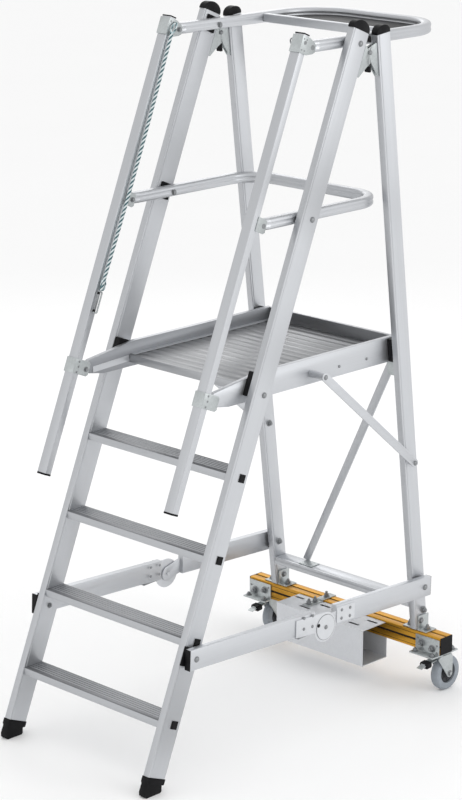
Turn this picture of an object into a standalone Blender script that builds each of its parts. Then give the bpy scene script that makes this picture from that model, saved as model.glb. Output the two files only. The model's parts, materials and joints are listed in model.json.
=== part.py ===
"""Rolling warehouse ladder: folding platform ladder with a castored rear frame.

Metres, +Z up. +Y points from the climbing side to the back, +X to the right of
a person who faces the treads. The origin is on the floor at the middle of the
ladder's footprint box. Every sub-part is one object made by one short function.
"""
import bpy
import math
from mathutils import Vector

for _old in list(bpy.data.objects):
    bpy.data.objects.remove(_old, do_unlink=True)

# ---------------------------------------------------------------- dimensions
GAP = 0.0003                      # air between pieces that touch

# front frame: two leaning stiles and four treads
STILE_LEAN = math.radians(67.8)
STILE_FOOT_Y = -0.680             # stile centre line where it meets the floor
STILE_WIDTH = 0.025
STILE_DEPTH = 0.075
STILE_OUTER_X = 0.3325
STILE_INNER_X = STILE_OUTER_X - STILE_WIDTH
STILE_BOTTOM_Z = 0.052
STILE_TOP_Z = 2.2345
TREAD_COUNT = 4
TREAD_RISE = 0.240
FIRST_TREAD_Z = 0.225
TREAD_HALF_DEPTH = 0.040

# rear frame: two legs, crossbar, brace
LEG_LEAN = math.radians(83.2)
LEG_Y_AT_1M = 0.4796
LEG_DEPTH = 0.060
LEG_BOTTOM_Z = 0.2038
LEG_TOP_Z = 2.216
CROSSBAR_Z = 0.2935
BRACE_START = (-0.204, 0.306)     # brace centre line as (x, z)
BRACE_END = (0.250, 1.117)
BRACE_TOP_Z = 1.128
BRACE_WIDTH = 0.030
BRACE_SETBACK = 0.022             # behind the legs' centre line

# pivots on the stiles (heights) and the parallel arms in front of them
BOLT_SETBACK = 0.0114             # pivots sit this far behind the stile's centre line
TOP_PIVOT_Z = 2.195
KNEE_PIVOT_Z = 1.680
DECK_PIVOT_Z = 1.167
ARM_REACH = 0.187                 # post pivots lie this far in front of stile pivots
ARM_LIFT = 0.0045
ARM_X = 0.2855                    # middle of rail arms and posts

# rear frame hinge at the top, side stay pivots, platform strut pivots
HINGE_Y, HINGE_Z = 0.2706, 2.1634
STAY_FRONT_Z = 0.406
STAY_REAR_Z = 0.359
STAY_KNEE_Y, STAY_KNEE_Z = 0.060, 0.355
STAY_HEIGHT = 0.066
STAY_LEAD = 0.026                 # the front bar starts this far ahead of its pivot
STAY_X0, STAY_X1 = 0.3385, 0.3605
STRUT_TOP_Y, STRUT_TOP_Z = 0.065, 1.176
STRUT_FOOT_Z = 0.800
STRUT_X0, STRUT_X1 = 0.346, 0.351

# platform
RAIL_X0, RAIL_X1 = 0.2690, 0.2850
DECK_Z = 1.184
BOARD_TOP_Z = 1.225
BOARD_BOTTOM_Z = 1.143
DECK_FRONT_Y = -0.188
DECK_REAR_Y = 0.472

# guard rails
RAIL_HALF_W, RAIL_HALF_H = 0.0165, 0.0175
TOP_RAIL_REAR_Y = 0.710           # outside of the bend
TOP_RAIL_CORNER = 0.180
KNEE_RAIL_REAR_Y = 0.410
KNEE_RAIL_CORNER = 0.125
CROSS_TUBE_Y = 0.437

# handrail posts
POST_WIDTH, POST_DEPTH = 0.038, 0.027
POST_AHEAD = 0.037                # post centre line in front of its pivots
POST_TOP_Z = 2.239
POST_BOTTOM_Z = 0.863
ROPE_RADIUS = 0.006
ROPE_X = -0.2557                  # beside the left post's inner face
ROPE_BOW = 0.007                  # it hangs this far behind the post's centre line

# beam, ballast box, casters
BEAM_FRONT_Y = 0.547
BEAM_SIZE = 0.060
BEAM_TOP_Z = 0.199
BEAM_HALF_LENGTH = 0.4405         # plastic end caps included
BOX_HALF_LENGTH = 0.198
BOX_FRONT_Y, BOX_REAR_Y = 0.430, 0.555
BOX_BOTTOM_Z, BOX_TOP_Z = 0.066, 0.195
SHEET = 0.003
CASTER_X = {"left": -0.365, "right": 0.413}    # the same bracket on both sides
CASTER_Y = 0.577
WHEEL_RADIUS = 0.060
WHEEL_HALF_WIDTH = 0.015
CASTER_TRAIL = 0.028

SIDES = (("left", -1.0), ("right", 1.0))


# ---------------------------------------------------------------- materials
def material(name, colour, metallic, roughness):
    mat = bpy.data.materials.get(name)
    if mat:
        return mat
    mat = bpy.data.materials.new(name)
    mat.use_nodes = True
    shader = mat.node_tree.nodes["Principled BSDF"]
    shader.inputs["Base Color"].default_value = (*colour, 1.0)
    shader.inputs["Metallic"].default_value = metallic
    shader.inputs["Roughness"].default_value = roughness
    mat.diffuse_color = (*colour, 1.0)
    return mat


def aluminium():
    return material("aluminium", (0.74, 0.76, 0.78), 1.0, 0.38)


def galvanised():
    return material("galvanised_steel", (0.62, 0.66, 0.65), 1.0, 0.45)


def gold():
    return material("gold_anodised", (0.80, 0.50, 0.14), 1.0, 0.35)


def black_plastic():
    return material("black_plastic", (0.02, 0.02, 0.022), 0.0, 0.5)


def grey_rubber():
    return material("grey_rubber", (0.36, 0.38, 0.40), 0.0, 0.65)


def rope_fibre():
    return material("rope_fibre", (0.80, 0.86, 0.86), 0.0, 0.85)


# ---------------------------------------------------------------- solids
def new_object(name, verts, faces, mat, smooth=False):
    mesh = bpy.data.meshes.new(name)
    mesh.from_pydata([tuple(v) for v in verts], [], faces)
    mesh.validate()
    mesh.materials.append(mat)
    if smooth:
        mesh.shade_smooth()
        mesh.set_sharp_from_angle(angle=math.radians(35))
    obj = bpy.data.objects.new(name, mesh)
    bpy.context.scene.collection.objects.link(obj)
    return obj


def area_sign(outline):
    total = 0.0
    for i, (a, b) in enumerate(outline):
        c, d = outline[(i + 1) % len(outline)]
        total += a * d - c * b
    return total


def prism(name, outline, start, end, mat, axis="x", smooth=False):
    """Extrude a closed outline from start to end along axis.

    The outline is (y, z) for axis x and (x, z) for axis y.
    """
    if axis == "x":
        place = lambda t, a, b: (t, a, b)
        forward = area_sign(outline) > 0
    else:
        place = lambda t, a, b: (a, t, b)
        forward = area_sign(outline) < 0
    low, high = sorted((start, end))
    if not forward:
        outline = outline[::-1]
    n = len(outline)
    verts = [place(low, a, b) for a, b in outline]
    verts += [place(high, a, b) for a, b in outline]
    faces = [tuple(range(n - 1, -1, -1)), tuple(range(n, 2 * n))]
    faces += [(i, (i + 1) % n, n + (i + 1) % n, n + i) for i in range(n)]
    return new_object(name, verts, faces, mat, smooth)


def sweep(name, stations, mat, smooth=False):
    """Skin a closed body through rings of equal point counts."""
    n = len(stations[0])
    verts = [p for ring in stations for p in ring]
    last = (len(stations) - 1) * n
    faces = [tuple(range(n - 1, -1, -1)), tuple(range(last, last + n))]
    for k in range(len(stations) - 1):
        for i in range(n):
            j = (i + 1) % n
            faces.append((k * n + i, k * n + j, (k + 1) * n + j, (k + 1) * n + i))
    return new_object(name, verts, faces, mat, smooth)


def turned(name, profile, centre, mat, segments=24):
    """Turn a closed (x, radius) profile about an X axis through centre."""
    count = len(profile)
    verts = []
    for k in range(segments):
        angle = 2 * math.pi * k / segments
        for x, r in profile:
            verts.append((centre[0] + x, centre[1] + r * math.cos(angle),
                          centre[2] + r * math.sin(angle)))
    faces = []
    for k in range(segments):
        m = (k + 1) % segments
        for i in range(count):
            j = (i + 1) % count
            faces.append((k * count + i, k * count + j, m * count + j, m * count + i))
    if area_sign(profile) < 0:
        faces = [f[::-1] for f in faces]
    return new_object(name, verts, faces, mat, smooth=True)


def arc(cy, cz, radius, start_deg, end_deg, steps):
    """Points on a circle in the YZ plane, both ends included."""
    points = []
    for k in range(steps + 1):
        a = math.radians(start_deg + (end_deg - start_deg) * k / steps)
        points.append((cy + radius * math.cos(a), cz + radius * math.sin(a)))
    return points


def disc(cy, cz, radius, steps=16):
    return arc(cy, cz, radius, 0.0, 360.0 - 360.0 / steps, steps - 1)


def tool_body(obj):
    obj.hide_render = True
    obj.display_type = "WIRE"
    return obj


def combine(target, other, operation):
    mod = target.modifiers.new(operation.lower(), "BOOLEAN")
    mod.operation = operation
    mod.solver = "EXACT"
    mod.object = tool_body(other)
    return target


# ---------------------------------------------------------------- directions
UP = (math.cos(STILE_LEAN), math.sin(STILE_LEAN))          # along a stile, (y, z)
BACK = (math.sin(STILE_LEAN), -math.cos(STILE_LEAN))       # square to it, to the rear
LEG_UP = (-math.cos(LEG_LEAN), math.sin(LEG_LEAN))
LEG_BACK = (math.sin(LEG_LEAN), math.cos(LEG_LEAN))


def stile_y(z):
    return STILE_FOOT_Y + z / math.tan(STILE_LEAN)


def leg_y(z):
    return LEG_Y_AT_1M - (z - 1.0) / math.tan(LEG_LEAN)


def local(origin, along, back, s, t):
    """Point s along one direction and t along the other, from origin."""
    return (origin[0] + along[0] * s + back[0] * t,
            origin[1] + along[1] * s + back[1] * t)


def stile_local(z, s, t):
    return local((stile_y(z), z), UP, BACK, s, t)


def leg_local(z, s, t):
    return local((leg_y(z), z), LEG_UP, LEG_BACK, s, t)


def stile_pivot(z):
    return (stile_y(z) + BOLT_SETBACK, z)


def post_pivot(z):
    y, z0 = stile_pivot(z)
    return (y - ARM_REACH, z0 + ARM_LIFT)


def extrusion_section(width, depth):
    """Rounded hollow-section outline with a thin groove near its front edge.

    (x, t) points about the section's middle, t to the rear.
    """
    w, d, c, g = width / 2, depth / 2, 0.002, 0.0015
    g0, g1 = -d + 0.006, -d + 0.010
    right = [(w - c, -d), (w, -d + c), (w, g0), (w - g, g0 + g), (w - g, g1 - g),
             (w, g1), (w, d - c), (w - c, d)]
    return right + [(-x, t) for x, t in reversed(right)]


def leaning_bar(name, section, x, bottom, top, back, mat):
    """Sweep an (x, t) section between two (y, z) points."""
    rings = []
    for y, z in (bottom, top):
        rings.append([(x + a, y + back[0] * t, z + back[1] * t) for a, t in section])
    return sweep(name, rings, mat)


# ---------------------------------------------------------------- front frame
def front_stile(side, sign):
    section = extrusion_section(STILE_WIDTH, STILE_DEPTH)
    x = sign * (STILE_OUTER_X + STILE_INNER_X) / 2
    bottom = (stile_y(STILE_BOTTOM_Z), STILE_BOTTOM_Z)
    top = (stile_y(STILE_TOP_Z), STILE_TOP_Z)
    leaning_bar("front_stile_" + side, section, x, bottom, top, BACK, aluminium())


def front_foot(side, sign):
    """Rubber foot: a cap on the stile's end, a neck and a flat sole."""
    half = STILE_DEPTH / 2 + 0.001
    z = STILE_BOTTOM_Z
    sole_front, sole_rear = -0.7100, -0.640
    outline = [stile_local(z, -GAP, -half), stile_local(z, -GAP, half),
               stile_local(z, -0.018, half), stile_local(z, -0.020, 0.029),
               (sole_rear, 0.012), (sole_rear, 0.005), (sole_rear - 0.005, 0.0),
               (sole_front + 0.007, 0.0), (sole_front, 0.006), (sole_front, 0.018),
               stile_local(z, -0.024, -0.034), stile_local(z, -0.018, -half)]
    prism("front_foot_" + side, outline, sign * 0.3065, sign * 0.3335, black_plastic())


def domed_cap(name, base, half, rise, sign):
    """Rounded end cap on a leaning bar; base maps (s, t) to (y, z)."""
    outline = [base(GAP, half), base(0.004, half)]
    for k in range(1, 8):
        a = math.pi * k / 8
        outline.append(base(0.004 + (rise - 0.004) * math.sin(a), half * math.cos(a)))
    outline += [base(0.004, -half), base(GAP, -half)]
    prism(name, outline, sign * 0.3071, sign * 0.3329, black_plastic(), smooth=True)


def tread(index):
    """Ribbed tread: top skin with ribs, a front lip and a square tube below."""
    top = FIRST_TREAD_Z + index * TREAD_RISE
    mid = stile_y(top)
    d = TREAD_HALF_DEPTH
    outline = [(mid + d, top - 0.0015)]
    ribs = 5
    plain_front = 0.018
    pitch = (2 * d - 0.004 - plain_front) / ribs
    for k in range(ribs):
        y = mid + d - 0.004 - k * pitch
        outline += [(y, top), (y - pitch * 0.55, top),
                    (y - pitch * 0.62, top - 0.0018), (y - pitch * 0.93, top - 0.0018)]
    outline += [(mid - d + plain_front, top),
                (mid - d + 0.005, top), (mid - d + 0.001, top - 0.001), (mid - d, top - 0.004),
                (mid - d, top - 0.024), (mid - d + 0.004, top - 0.024),
                (mid - d + 0.004, top - 0.006), (mid - 0.002, top - 0.006),
                (mid - 0.002, top - 0.031), (mid + 0.028, top - 0.031),
                (mid + 0.028, top - 0.006), (mid + d, top - 0.006)]
    x = STILE_INNER_X - GAP
    prism("tread_%d" % (index + 1), outline, -x, x, aluminium())


def hinge_front_bracket(side, sign):
    """Forked bracket on the stile's rear face that carries the rear frame's pin."""
    face = STILE_DEPTH / 2 + GAP
    base = lambda s, t: stile_local(HINGE_Z, s, t)
    outline = [base(-0.060, face), base(0.040, face), base(0.040, face + 0.006),
               base(0.020, face + 0.030), base(-0.004, face + 0.042),
               base(-0.020, face + 0.030), base(-0.060, face + 0.006)]
    body = prism("top_hinge_front_" + side, outline, sign * 0.3085, sign * 0.3315, galvanised())
    cavity = [base(-0.070, face + 0.004), base(0.050, face + 0.004),
              base(0.050, face + 0.060), base(-0.070, face + 0.060)]
    cut = prism("cut_hinge_front_" + side, cavity, sign * 0.3118, sign * 0.3282, galvanised())
    combine(body, cut, "DIFFERENCE")
    pin = prism("pin_hinge_" + side, disc(HINGE_Y, HINGE_Z, 0.005, 12),
                sign * 0.3065, sign * 0.3345, galvanised())
    combine(body, pin, "UNION")


def hinge_rear_bracket(side, sign):
    """Bracket on the leg's front face that turns on the hinge pin."""
    face = -(LEG_DEPTH / 2 + GAP)
    base = lambda s, t: leg_local(HINGE_Z, s, t)
    tip = [(HINGE_Y + 0.012 * math.cos(a), HINGE_Z + 0.012 * math.sin(a))
           for a in (math.radians(v) for v in (110, 145, 180, 215, 250))]
    outline = [base(-0.075, face), base(-0.075, face - 0.005)] + tip[::-1]
    outline += [base(0.030, face - 0.005), base(0.030, face)]
    body = prism("top_hinge_rear_" + side, outline, sign * 0.3122, sign * 0.3278, galvanised())
    cavity = [base(-0.090, face - 0.004), base(0.050, face - 0.004),
              base(0.050, face - 0.080), base(-0.090, face - 0.080)]
    cut = prism("cut_hinge_rear_" + side, cavity, sign * 0.3155, sign * 0.3245, galvanised())
    combine(body, cut, "DIFFERENCE")
    hole = prism("hole_hinge_rear_" + side, disc(HINGE_Y, HINGE_Z, 0.0058, 12),
                 sign * 0.3, sign * 0.34, galvanised())
    combine(body, hole, "DIFFERENCE")


# ---------------------------------------------------------------- rear frame
def rear_leg(side, sign):
    section = extrusion_section(STILE_WIDTH, LEG_DEPTH)
    x = sign * (STILE_OUTER_X + STILE_INNER_X) / 2
    bottom = (leg_y(LEG_BOTTOM_Z), LEG_BOTTOM_Z)
    top = (leg_y(LEG_TOP_Z), LEG_TOP_Z)
    rings = []
    for y, z in (bottom, top):
        level = z == LEG_BOTTOM_Z
        back = (1.0, 0.0) if level else LEG_BACK
        rings.append([(x + a, y + back[0] * t, z + back[1] * t) for a, t in section])
    sweep("rear_leg_" + side, rings, aluminium())


def rear_crossbar():
    """Leg extrusion laid flat between the legs."""
    z, half = CROSSBAR_Z, 0.0125
    y = leg_y(z)
    groove = 0.0015
    outline = [(y - 0.029, z - half), (y - 0.029, z - 0.002), (y - 0.029 + groove, z),
               (y - 0.029, z + 0.002), (y - 0.029, z + half),
               (y - 0.020, z + half), (y - 0.018, z + half - groove), (y - 0.016, z + half),
               (y + 0.029, z + half), (y + 0.029, z - half)]
    x = STILE_INNER_X - GAP
    prism("rear_crossbar", outline, -x, x, aluminium())


def rear_brace():
    """Diagonal flat bar from the crossbar up to a bracket on the right leg."""
    start, end = Vector(BRACE_START), Vector(BRACE_END)
    along = (end - start).normalized()
    across = Vector((-along[1], along[0])) * BRACE_WIDTH / 2
    rings = []
    for setback in (BRACE_SETBACK, BRACE_SETBACK + 0.005):
        ring = []
        for corner in (start - across, start + across, end + across, end - across):
            x, z = corner
            z = min(max(z, CROSSBAR_Z + 0.0129), BRACE_TOP_Z)
            ring.append((x, leg_y(z) + setback, z))
        rings.append(ring)
    sweep("rear_brace", rings, aluminium())


def brace_bracket():
    """Small plate that joins the brace's top to the right leg's inner face."""
    low, high = BRACE_TOP_Z - 0.045, BRACE_TOP_Z
    rings = []
    for setback in (BRACE_SETBACK - GAP - 0.004, BRACE_SETBACK - GAP):
        rings.append([(x, leg_y(z) + setback, z) for x, z in
                      ((0.238, low), (STILE_INNER_X - GAP, low),
                       (STILE_INNER_X - GAP, high), (0.238, high))][::-1])
    sweep("brace_bracket", rings, galvanised())


def leg_bracket(side, sign):
    """Hat bracket: base on the beam's top, walls on both sides of the leg's end."""
    low, high = BEAM_TOP_Z + GAP, BEAM_TOP_Z + GAP + 0.004
    wall_top = 0.250
    x_list = [(0.268, low), (0.372, low), (0.372, high), (0.3368, high), (0.3368, wall_top),
              (0.3328, wall_top), (0.3328, high), (0.3072, high), (0.3072, wall_top),
              (0.3032, wall_top), (0.3032, high), (0.268, high)]
    outline = [(sign * x, z) for x, z in x_list]
    prism("leg_bracket_" + side, outline, 0.553, 0.605, galvanised(), axis="y")


def beam():
    """Square gold extrusion with a slot along its front, rear and top faces."""
    y0, y1 = BEAM_FRONT_Y, BEAM_FRONT_Y + BEAM_SIZE
    z0, z1 = BEAM_TOP_Z - BEAM_SIZE, BEAM_TOP_Z
    ym, zm = (y0 + y1) / 2, (z0 + z1) / 2
    h, d, c = 0.004, 0.006, 0.0015
    outline = [(y0 + c, z0), (y1 - c, z0), (y1, z0 + c), (y1, zm - h), (y1 - d, zm - h),
               (y1 - d, zm + h), (y1, zm + h), (y1, z1 - c), (y1 - c, z1),
               (ym + h, z1), (ym + h, z1 - d), (ym - h, z1 - d), (ym - h, z1),
               (y0 + c, z1), (y0, z1 - c), (y0, zm + h), (y0 + d, zm + h),
               (y0 + d, zm - h), (y0, zm - h), (y0, z0 + c)]
    prism("caster_beam", outline, -BEAM_HALF_LENGTH, BEAM_HALF_LENGTH, gold())


def caster_bracket(side, sign):
    """Channel round the beam's lower half with a shelf to the front and the rear."""
    bottom = BEAM_TOP_Z - BEAM_SIZE
    y0, y1 = BEAM_FRONT_Y - 0.0005, BEAM_FRONT_Y + BEAM_SIZE + 0.0005
    wall, z0, z1, top = 0.004, bottom - 0.0055, bottom - 0.0005, 0.192
    outline = [(y0 - 0.036, z0), (y1 + 0.034, z0), (y1 + 0.034, z1), (y1 + wall, z1),
               (y1 + wall, top), (y1, top), (y1, z1),
               (y0, z1), (y0, top), (y0 - wall, top), (y0 - wall, z1), (y0 - 0.036, z1)]
    prism("caster_bracket_" + side, outline, sign * 0.3345, sign * 0.4365, galvanised())


def ballast_box():
    """Bent sheet tray in front of and under the beam, open at both ends."""
    y0, y1, z0, z1, t = BOX_FRONT_Y, BOX_REAR_Y, BOX_BOTTOM_Z, BOX_TOP_Z, SHEET
    lip = BEAM_TOP_Z - BEAM_SIZE - 0.0005
    rim = BEAM_FRONT_Y - 0.0015
    outline = [(y0, z1), (rim, z1), (rim, z1 - t), (y0 + t, z1 - t), (y0 + t, z0 + t),
               (y1 - t, z0 + t), (y1 - t, lip), (y1, lip), (y1, z0), (y0, z0)]
    prism("ballast_box", outline, -BOX_HALF_LENGTH, BOX_HALF_LENGTH, galvanised())


def box_strap():
    """Strip bolted to the box's top and hooked over the beam."""
    t = SHEET
    box_top, beam_top = BOX_TOP_Z + GAP, BEAM_TOP_Z + GAP
    step = BEAM_FRONT_Y - 0.0025
    rear = BEAM_FRONT_Y + BEAM_SIZE + GAP
    outline = [(0.470, box_top), (step, box_top), (step, beam_top), (rear, beam_top),
               (rear, 0.160), (rear + t, 0.160), (rear + t, beam_top + t),
               (step - t, beam_top + t), (step - t, box_top + t), (0.470, box_top + t)]
    prism("box_strap", outline, -0.115, -0.085, galvanised())


def caster_fork(side):
    """Pressed fork with its swivel bearing above and the wheel's axle through it."""
    x = CASTER_X[side]
    crown, plate = 0.1295, 0.1255
    ay, az = CASTER_Y + CASTER_TRAIL, WHEEL_RADIUS
    outline = [(CASTER_Y - 0.030, plate - 0.006), (CASTER_Y - 0.026, crown),
               (CASTER_Y + 0.036, crown), (CASTER_Y + 0.042, crown - 0.012)]
    outline += arc(ay, az, 0.014, 20, -160, 6)
    body = prism("caster_fork_" + side, outline, x - 0.0215, x + 0.0215, galvanised())
    cavity = [(ay - 0.09, -0.01), (ay + 0.09, -0.01), (ay + 0.09, plate), (ay - 0.09, plate)]
    cut = prism("cut_fork_" + side, cavity, x - 0.0185, x + 0.0185, galvanised())
    combine(body, cut, "DIFFERENCE")
    axle = prism("axle_" + side, disc(ay, az, 0.005, 12), x - 0.0275, x + 0.0275, galvanised())
    combine(body, axle, "UNION")
    ring = [(x + a, CASTER_Y + b) for a, b in disc(0.0, 0.0, 0.019, 16)]
    bearing = new_object(
        "bearing_" + side,
        [(a, b, z) for z in (0.128, 0.1332) for a, b in ring],
        [tuple(range(15, -1, -1)), tuple(range(16, 32))]
        + [(i, (i + 1) % 16, 16 + (i + 1) % 16, 16 + i) for i in range(16)],
        galvanised())
    combine(body, bearing, "UNION")


def caster_wheel(side):
    r, w = WHEEL_RADIUS, WHEEL_HALF_WIDTH
    profile = [(-w, 0.040), (-w, r - 0.004), (-w + 0.004, r - 0.0008), (0.0, r),
               (w - 0.004, r - 0.0008), (w, r - 0.004), (w, 0.040), (w - 0.005, 0.036),
               (w - 0.005, 0.016), (w, 0.014), (w, 0.0058), (-w, 0.0058), (-w, 0.014),
               (-w + 0.005, 0.016), (-w + 0.005, 0.036)]
    centre = (CASTER_X[side], CASTER_Y + CASTER_TRAIL, WHEEL_RADIUS)
    turned("caster_wheel_" + side, profile, centre, grey_rubber())


def brake_pedal(side):
    """Foot lever in front of the fork; it tips down about its rear edge."""
    y = CASTER_Y - 0.032
    outline = [(y, 0.1175), (y, 0.1235), (y - 0.010, 0.1240), (y - 0.042, 0.1180),
               (y - 0.074, 0.1090), (y - 0.075, 0.1060), (y - 0.046, 0.1080),
               (y - 0.036, 0.1000), (y - 0.008, 0.1060)]
    x = CASTER_X[side]
    prism("brake_pedal_" + side, outline, x - 0.019, x + 0.019, black_plastic())


# ---------------------------------------------------------------- platform
def platform_rail(side, sign):
    """Side board of the platform; its front end tapers to the post's pivot."""
    py, pz = post_pivot(DECK_PIVOT_Z)
    outline = [(DECK_REAR_Y, BOARD_BOTTOM_Z), (DECK_REAR_Y, BOARD_TOP_Z),
               (-0.160, BOARD_TOP_Z), (py + 0.020, pz + 0.026)]
    outline += arc(py, pz, 0.0115, 110, 250, 5)
    outline += [(py + 0.020, pz - 0.018), (-0.300, BOARD_BOTTOM_Z)]
    prism("platform_rail_" + side, outline, sign * RAIL_X0, sign * RAIL_X1, aluminium())


def platform_deck():
    """Ribbed deck plate between the side boards, with a folded front edge."""
    y0, y1, z = DECK_FRONT_Y, DECK_REAR_Y - 0.006, DECK_Z
    outline = [(y1, z - 0.018)]
    ribs = 16
    pitch = (y1 - y0 - 0.030) / ribs
    outline.append((y1, z - 0.002))
    for k in range(ribs):
        y = y1 - 0.010 - k * pitch
        outline += [(y, z), (y - pitch * 0.6, z), (y - pitch * 0.68, z - 0.002),
                    (y - pitch * 0.92, z - 0.002)]
    outline += [(y0 + 0.018, z), (y0 + 0.002, z), (y0, z - 0.003), (y0, z - 0.026),
                (y0 + 0.004, z - 0.026), (y0 + 0.004, z - 0.018)]
    x = RAIL_X0 - GAP
    prism("platform_deck", outline, -x, x, aluminium())


def rear_board():
    """Upright board along the platform's rear edge."""
    y0, y1 = DECK_REAR_Y - 0.005, DECK_REAR_Y
    x = RAIL_X0 - GAP
    outline = [(y0, BOARD_BOTTOM_Z + 0.010), (y1, BOARD_BOTTOM_Z + 0.010),
               (y1, BOARD_TOP_Z), (y0 - 0.006, BOARD_TOP_Z), (y0 - 0.006, BOARD_TOP_Z - 0.003),
               (y0, BOARD_TOP_Z - 0.003)]
    prism("platform_rear_board", outline, -x, x, aluminium())


def platform_strut(side, sign):
    """Flat bar with a long spacer at the platform and a short one at the rear leg."""
    a = Vector((STRUT_TOP_Y, STRUT_TOP_Z))
    b = Vector((leg_y(STRUT_FOOT_Z), STRUT_FOOT_Z))
    along = (b - a).normalized()
    heading = math.degrees(math.atan2(along[1], along[0]))
    r = 0.014
    outline = arc(a[0], a[1], r, heading + 90, heading + 270, 6)
    outline += arc(b[0], b[1], r, heading - 90, heading + 90, 6)
    body = prism("platform_strut_" + side, outline, sign * STRUT_X0, sign * STRUT_X1,
                 aluminium())
    foot = prism("strut_foot_" + side, disc(b[0], b[1], 0.009, 12),
                 sign * (STILE_OUTER_X + GAP), sign * (STRUT_X0 + 0.002), galvanised())
    combine(body, foot, "UNION")
    spacer = prism("strut_spacer_" + side, disc(a[0], a[1], 0.0115, 12),
                   sign * (RAIL_X1 + GAP), sign * (STRUT_X0 + 0.002), galvanised())
    combine(body, spacer, "UNION")


# ---------------------------------------------------------------- guard rails
def rail_section(half_w):
    """Oval rail section with a shallow groove on each flank; (side, up) points."""
    w, h, g = half_w, RAIL_HALF_H, 0.0015
    quarter = [(w, h - 0.009), (w - 0.003, h - 0.003), (w - 0.0075, h)]
    right = [(w - g, -0.0045), (w - g, 0.0045)] + quarter
    upper = right + [(-a, b) for a, b in reversed(quarter)]
    left = [(-(w - g), 0.0045), (-(w - g), -0.0045)]
    lower = [(-a, -b) for a, b in quarter] + [(a, -b) for a, b in reversed(quarter)]
    return upper + left + lower


def u_path(front_y, rear_y, corner, arm_x, steps):
    """Centre line of a U rail seen from above: (x, y, heading) stations."""
    reach = rear_y - RAIL_HALF_W
    r = corner - RAIL_HALF_W
    stations = [(arm_x, front_y, 90.0), (arm_x, front_y + 0.034, 90.0),
                (arm_x, front_y + 0.040, 90.0)]
    for k in range(steps + 1):
        a = 90.0 * k / steps
        stations.append((arm_x - r + r * math.cos(math.radians(a)),
                         reach - r + r * math.sin(math.radians(a)), 90.0 + a))
    mirrored = [(-x, y, 360.0 - heading) for x, y, heading in reversed(stations)]
    return stations + mirrored


def guard_rail(name, pivot_z, rear_y, corner):
    """Bent tube rail whose ends are flattened into tongues for the posts."""
    py, pz = post_pivot(pivot_z)
    wide, narrow = rail_section(RAIL_HALF_W), rail_section(0.012)
    stations = u_path(py - 0.010, rear_y, corner, ARM_X, 6)
    rings = []
    last = len(stations) - 1
    for k, (x, y, heading) in enumerate(stations):
        section = narrow if k in (0, 1, last - 1, last) else wide
        a = math.radians(heading - 90.0)
        ring = [(x + s * math.cos(a), y + s * math.sin(a), pz + up) for s, up in section]
        rings.append(ring[::-1])
    sweep(name, rings, aluminium(), smooth=True)


def rail_cross_tube():
    """Flat tube between the arms of the top rail, in front of the tray."""
    z = TOP_PIVOT_Z + ARM_LIFT
    y = CROSS_TUBE_Y
    outline = [(y - 0.010, z - 0.012), (y - 0.008, z - 0.014), (y + 0.008, z - 0.014),
               (y + 0.010, z - 0.012), (y + 0.010, z + 0.012), (y + 0.008, z + 0.014),
               (y - 0.008, z + 0.014), (y - 0.010, z + 0.012)]
    x = ARM_X - RAIL_HALF_W - GAP
    prism("rail_cross_tube", outline, -x, x, aluminium())


def tool_tray():
    """Shallow black tray set inside the bend of the top rail."""
    z = TOP_PIVOT_Z + ARM_LIFT - 0.004
    y0 = CROSS_TUBE_Y + 0.011
    edge = RAIL_HALF_W * 2 + 0.001
    x1, y1 = ARM_X + RAIL_HALF_W - edge, TOP_RAIL_REAR_Y - edge
    r = TOP_RAIL_CORNER - edge
    half = [(x1, y0), (x1, y1 - r)]
    for k in range(1, 7):
        a = math.pi / 2 * k / 6
        half.append((x1 - r + r * math.cos(a), y1 - r + r * math.sin(a)))
    outline = half + [(-x, y) for x, y in reversed(half)]
    n = len(outline)
    verts = [(x, y, h) for h in (z - 0.003, z) for x, y in outline]
    faces = [tuple(range(n - 1, -1, -1)), tuple(range(n, 2 * n))]
    faces += [(i, (i + 1) % n, n + (i + 1) % n, n + i) for i in range(n)]
    new_object("tool_tray", verts, faces, black_plastic())


# ---------------------------------------------------------------- posts
def post_line(z):
    """Post centre line point at the height z of its own axis."""
    py, pz = post_pivot(TOP_PIVOT_Z)
    y0, z0 = local((py, pz), UP, BACK, 0.0, -POST_AHEAD)
    return (y0 + (z - z0) / math.tan(STILE_LEAN), z)


def handrail_post(side, sign):
    w, d, c = POST_WIDTH / 2, POST_DEPTH / 2, 0.002
    section = [(w - c, -d), (w, -d + c), (w, d - c), (w - c, d),
               (-w + c, d), (-w, d - c), (-w, -d + c), (-w + c, -d)]
    leaning_bar("handrail_post_" + side, section, sign * ARM_X,
                post_line(POST_BOTTOM_Z), post_line(POST_TOP_Z), BACK, aluminium())


def post_bracket(name, pivot_z, local_outline, holes, sign, inner_tip, outer_tip):
    """Pressed channel on the post with a pinned ear each side.

    holes lists the (front, rear) offsets that the post or the rail's end fills.
    """
    pivot = post_pivot(pivot_z)
    base = lambda s, t: local(pivot, UP, BACK, s, t)
    x = sign * ARM_X
    half = POST_WIDTH / 2 + GAP
    outline = [base(s, t) for s, t in local_outline]
    body = prism(name, outline, x - half - 0.002, x + half + 0.002, galvanised())
    for index, (front, rear) in enumerate(holes):
        cavity = [base(-0.08, front), base(0.08, front), base(0.08, rear), base(-0.08, rear)]
        cut = prism("cut_%d_%s" % (index, name), cavity, x - half, x + half, galvanised())
        combine(body, cut, "DIFFERENCE")
    for label, root, tip in (("inner", -half - 0.0015, inner_tip),
                             ("outer", half + 0.0015, outer_tip)):
        pin = prism(label + "_pin_" + name, disc(pivot[0], pivot[1], 0.0045, 10),
                    sign * (ARM_X + root), sign * (ARM_X + tip), galvanised())
        combine(body, pin, "UNION")


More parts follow.
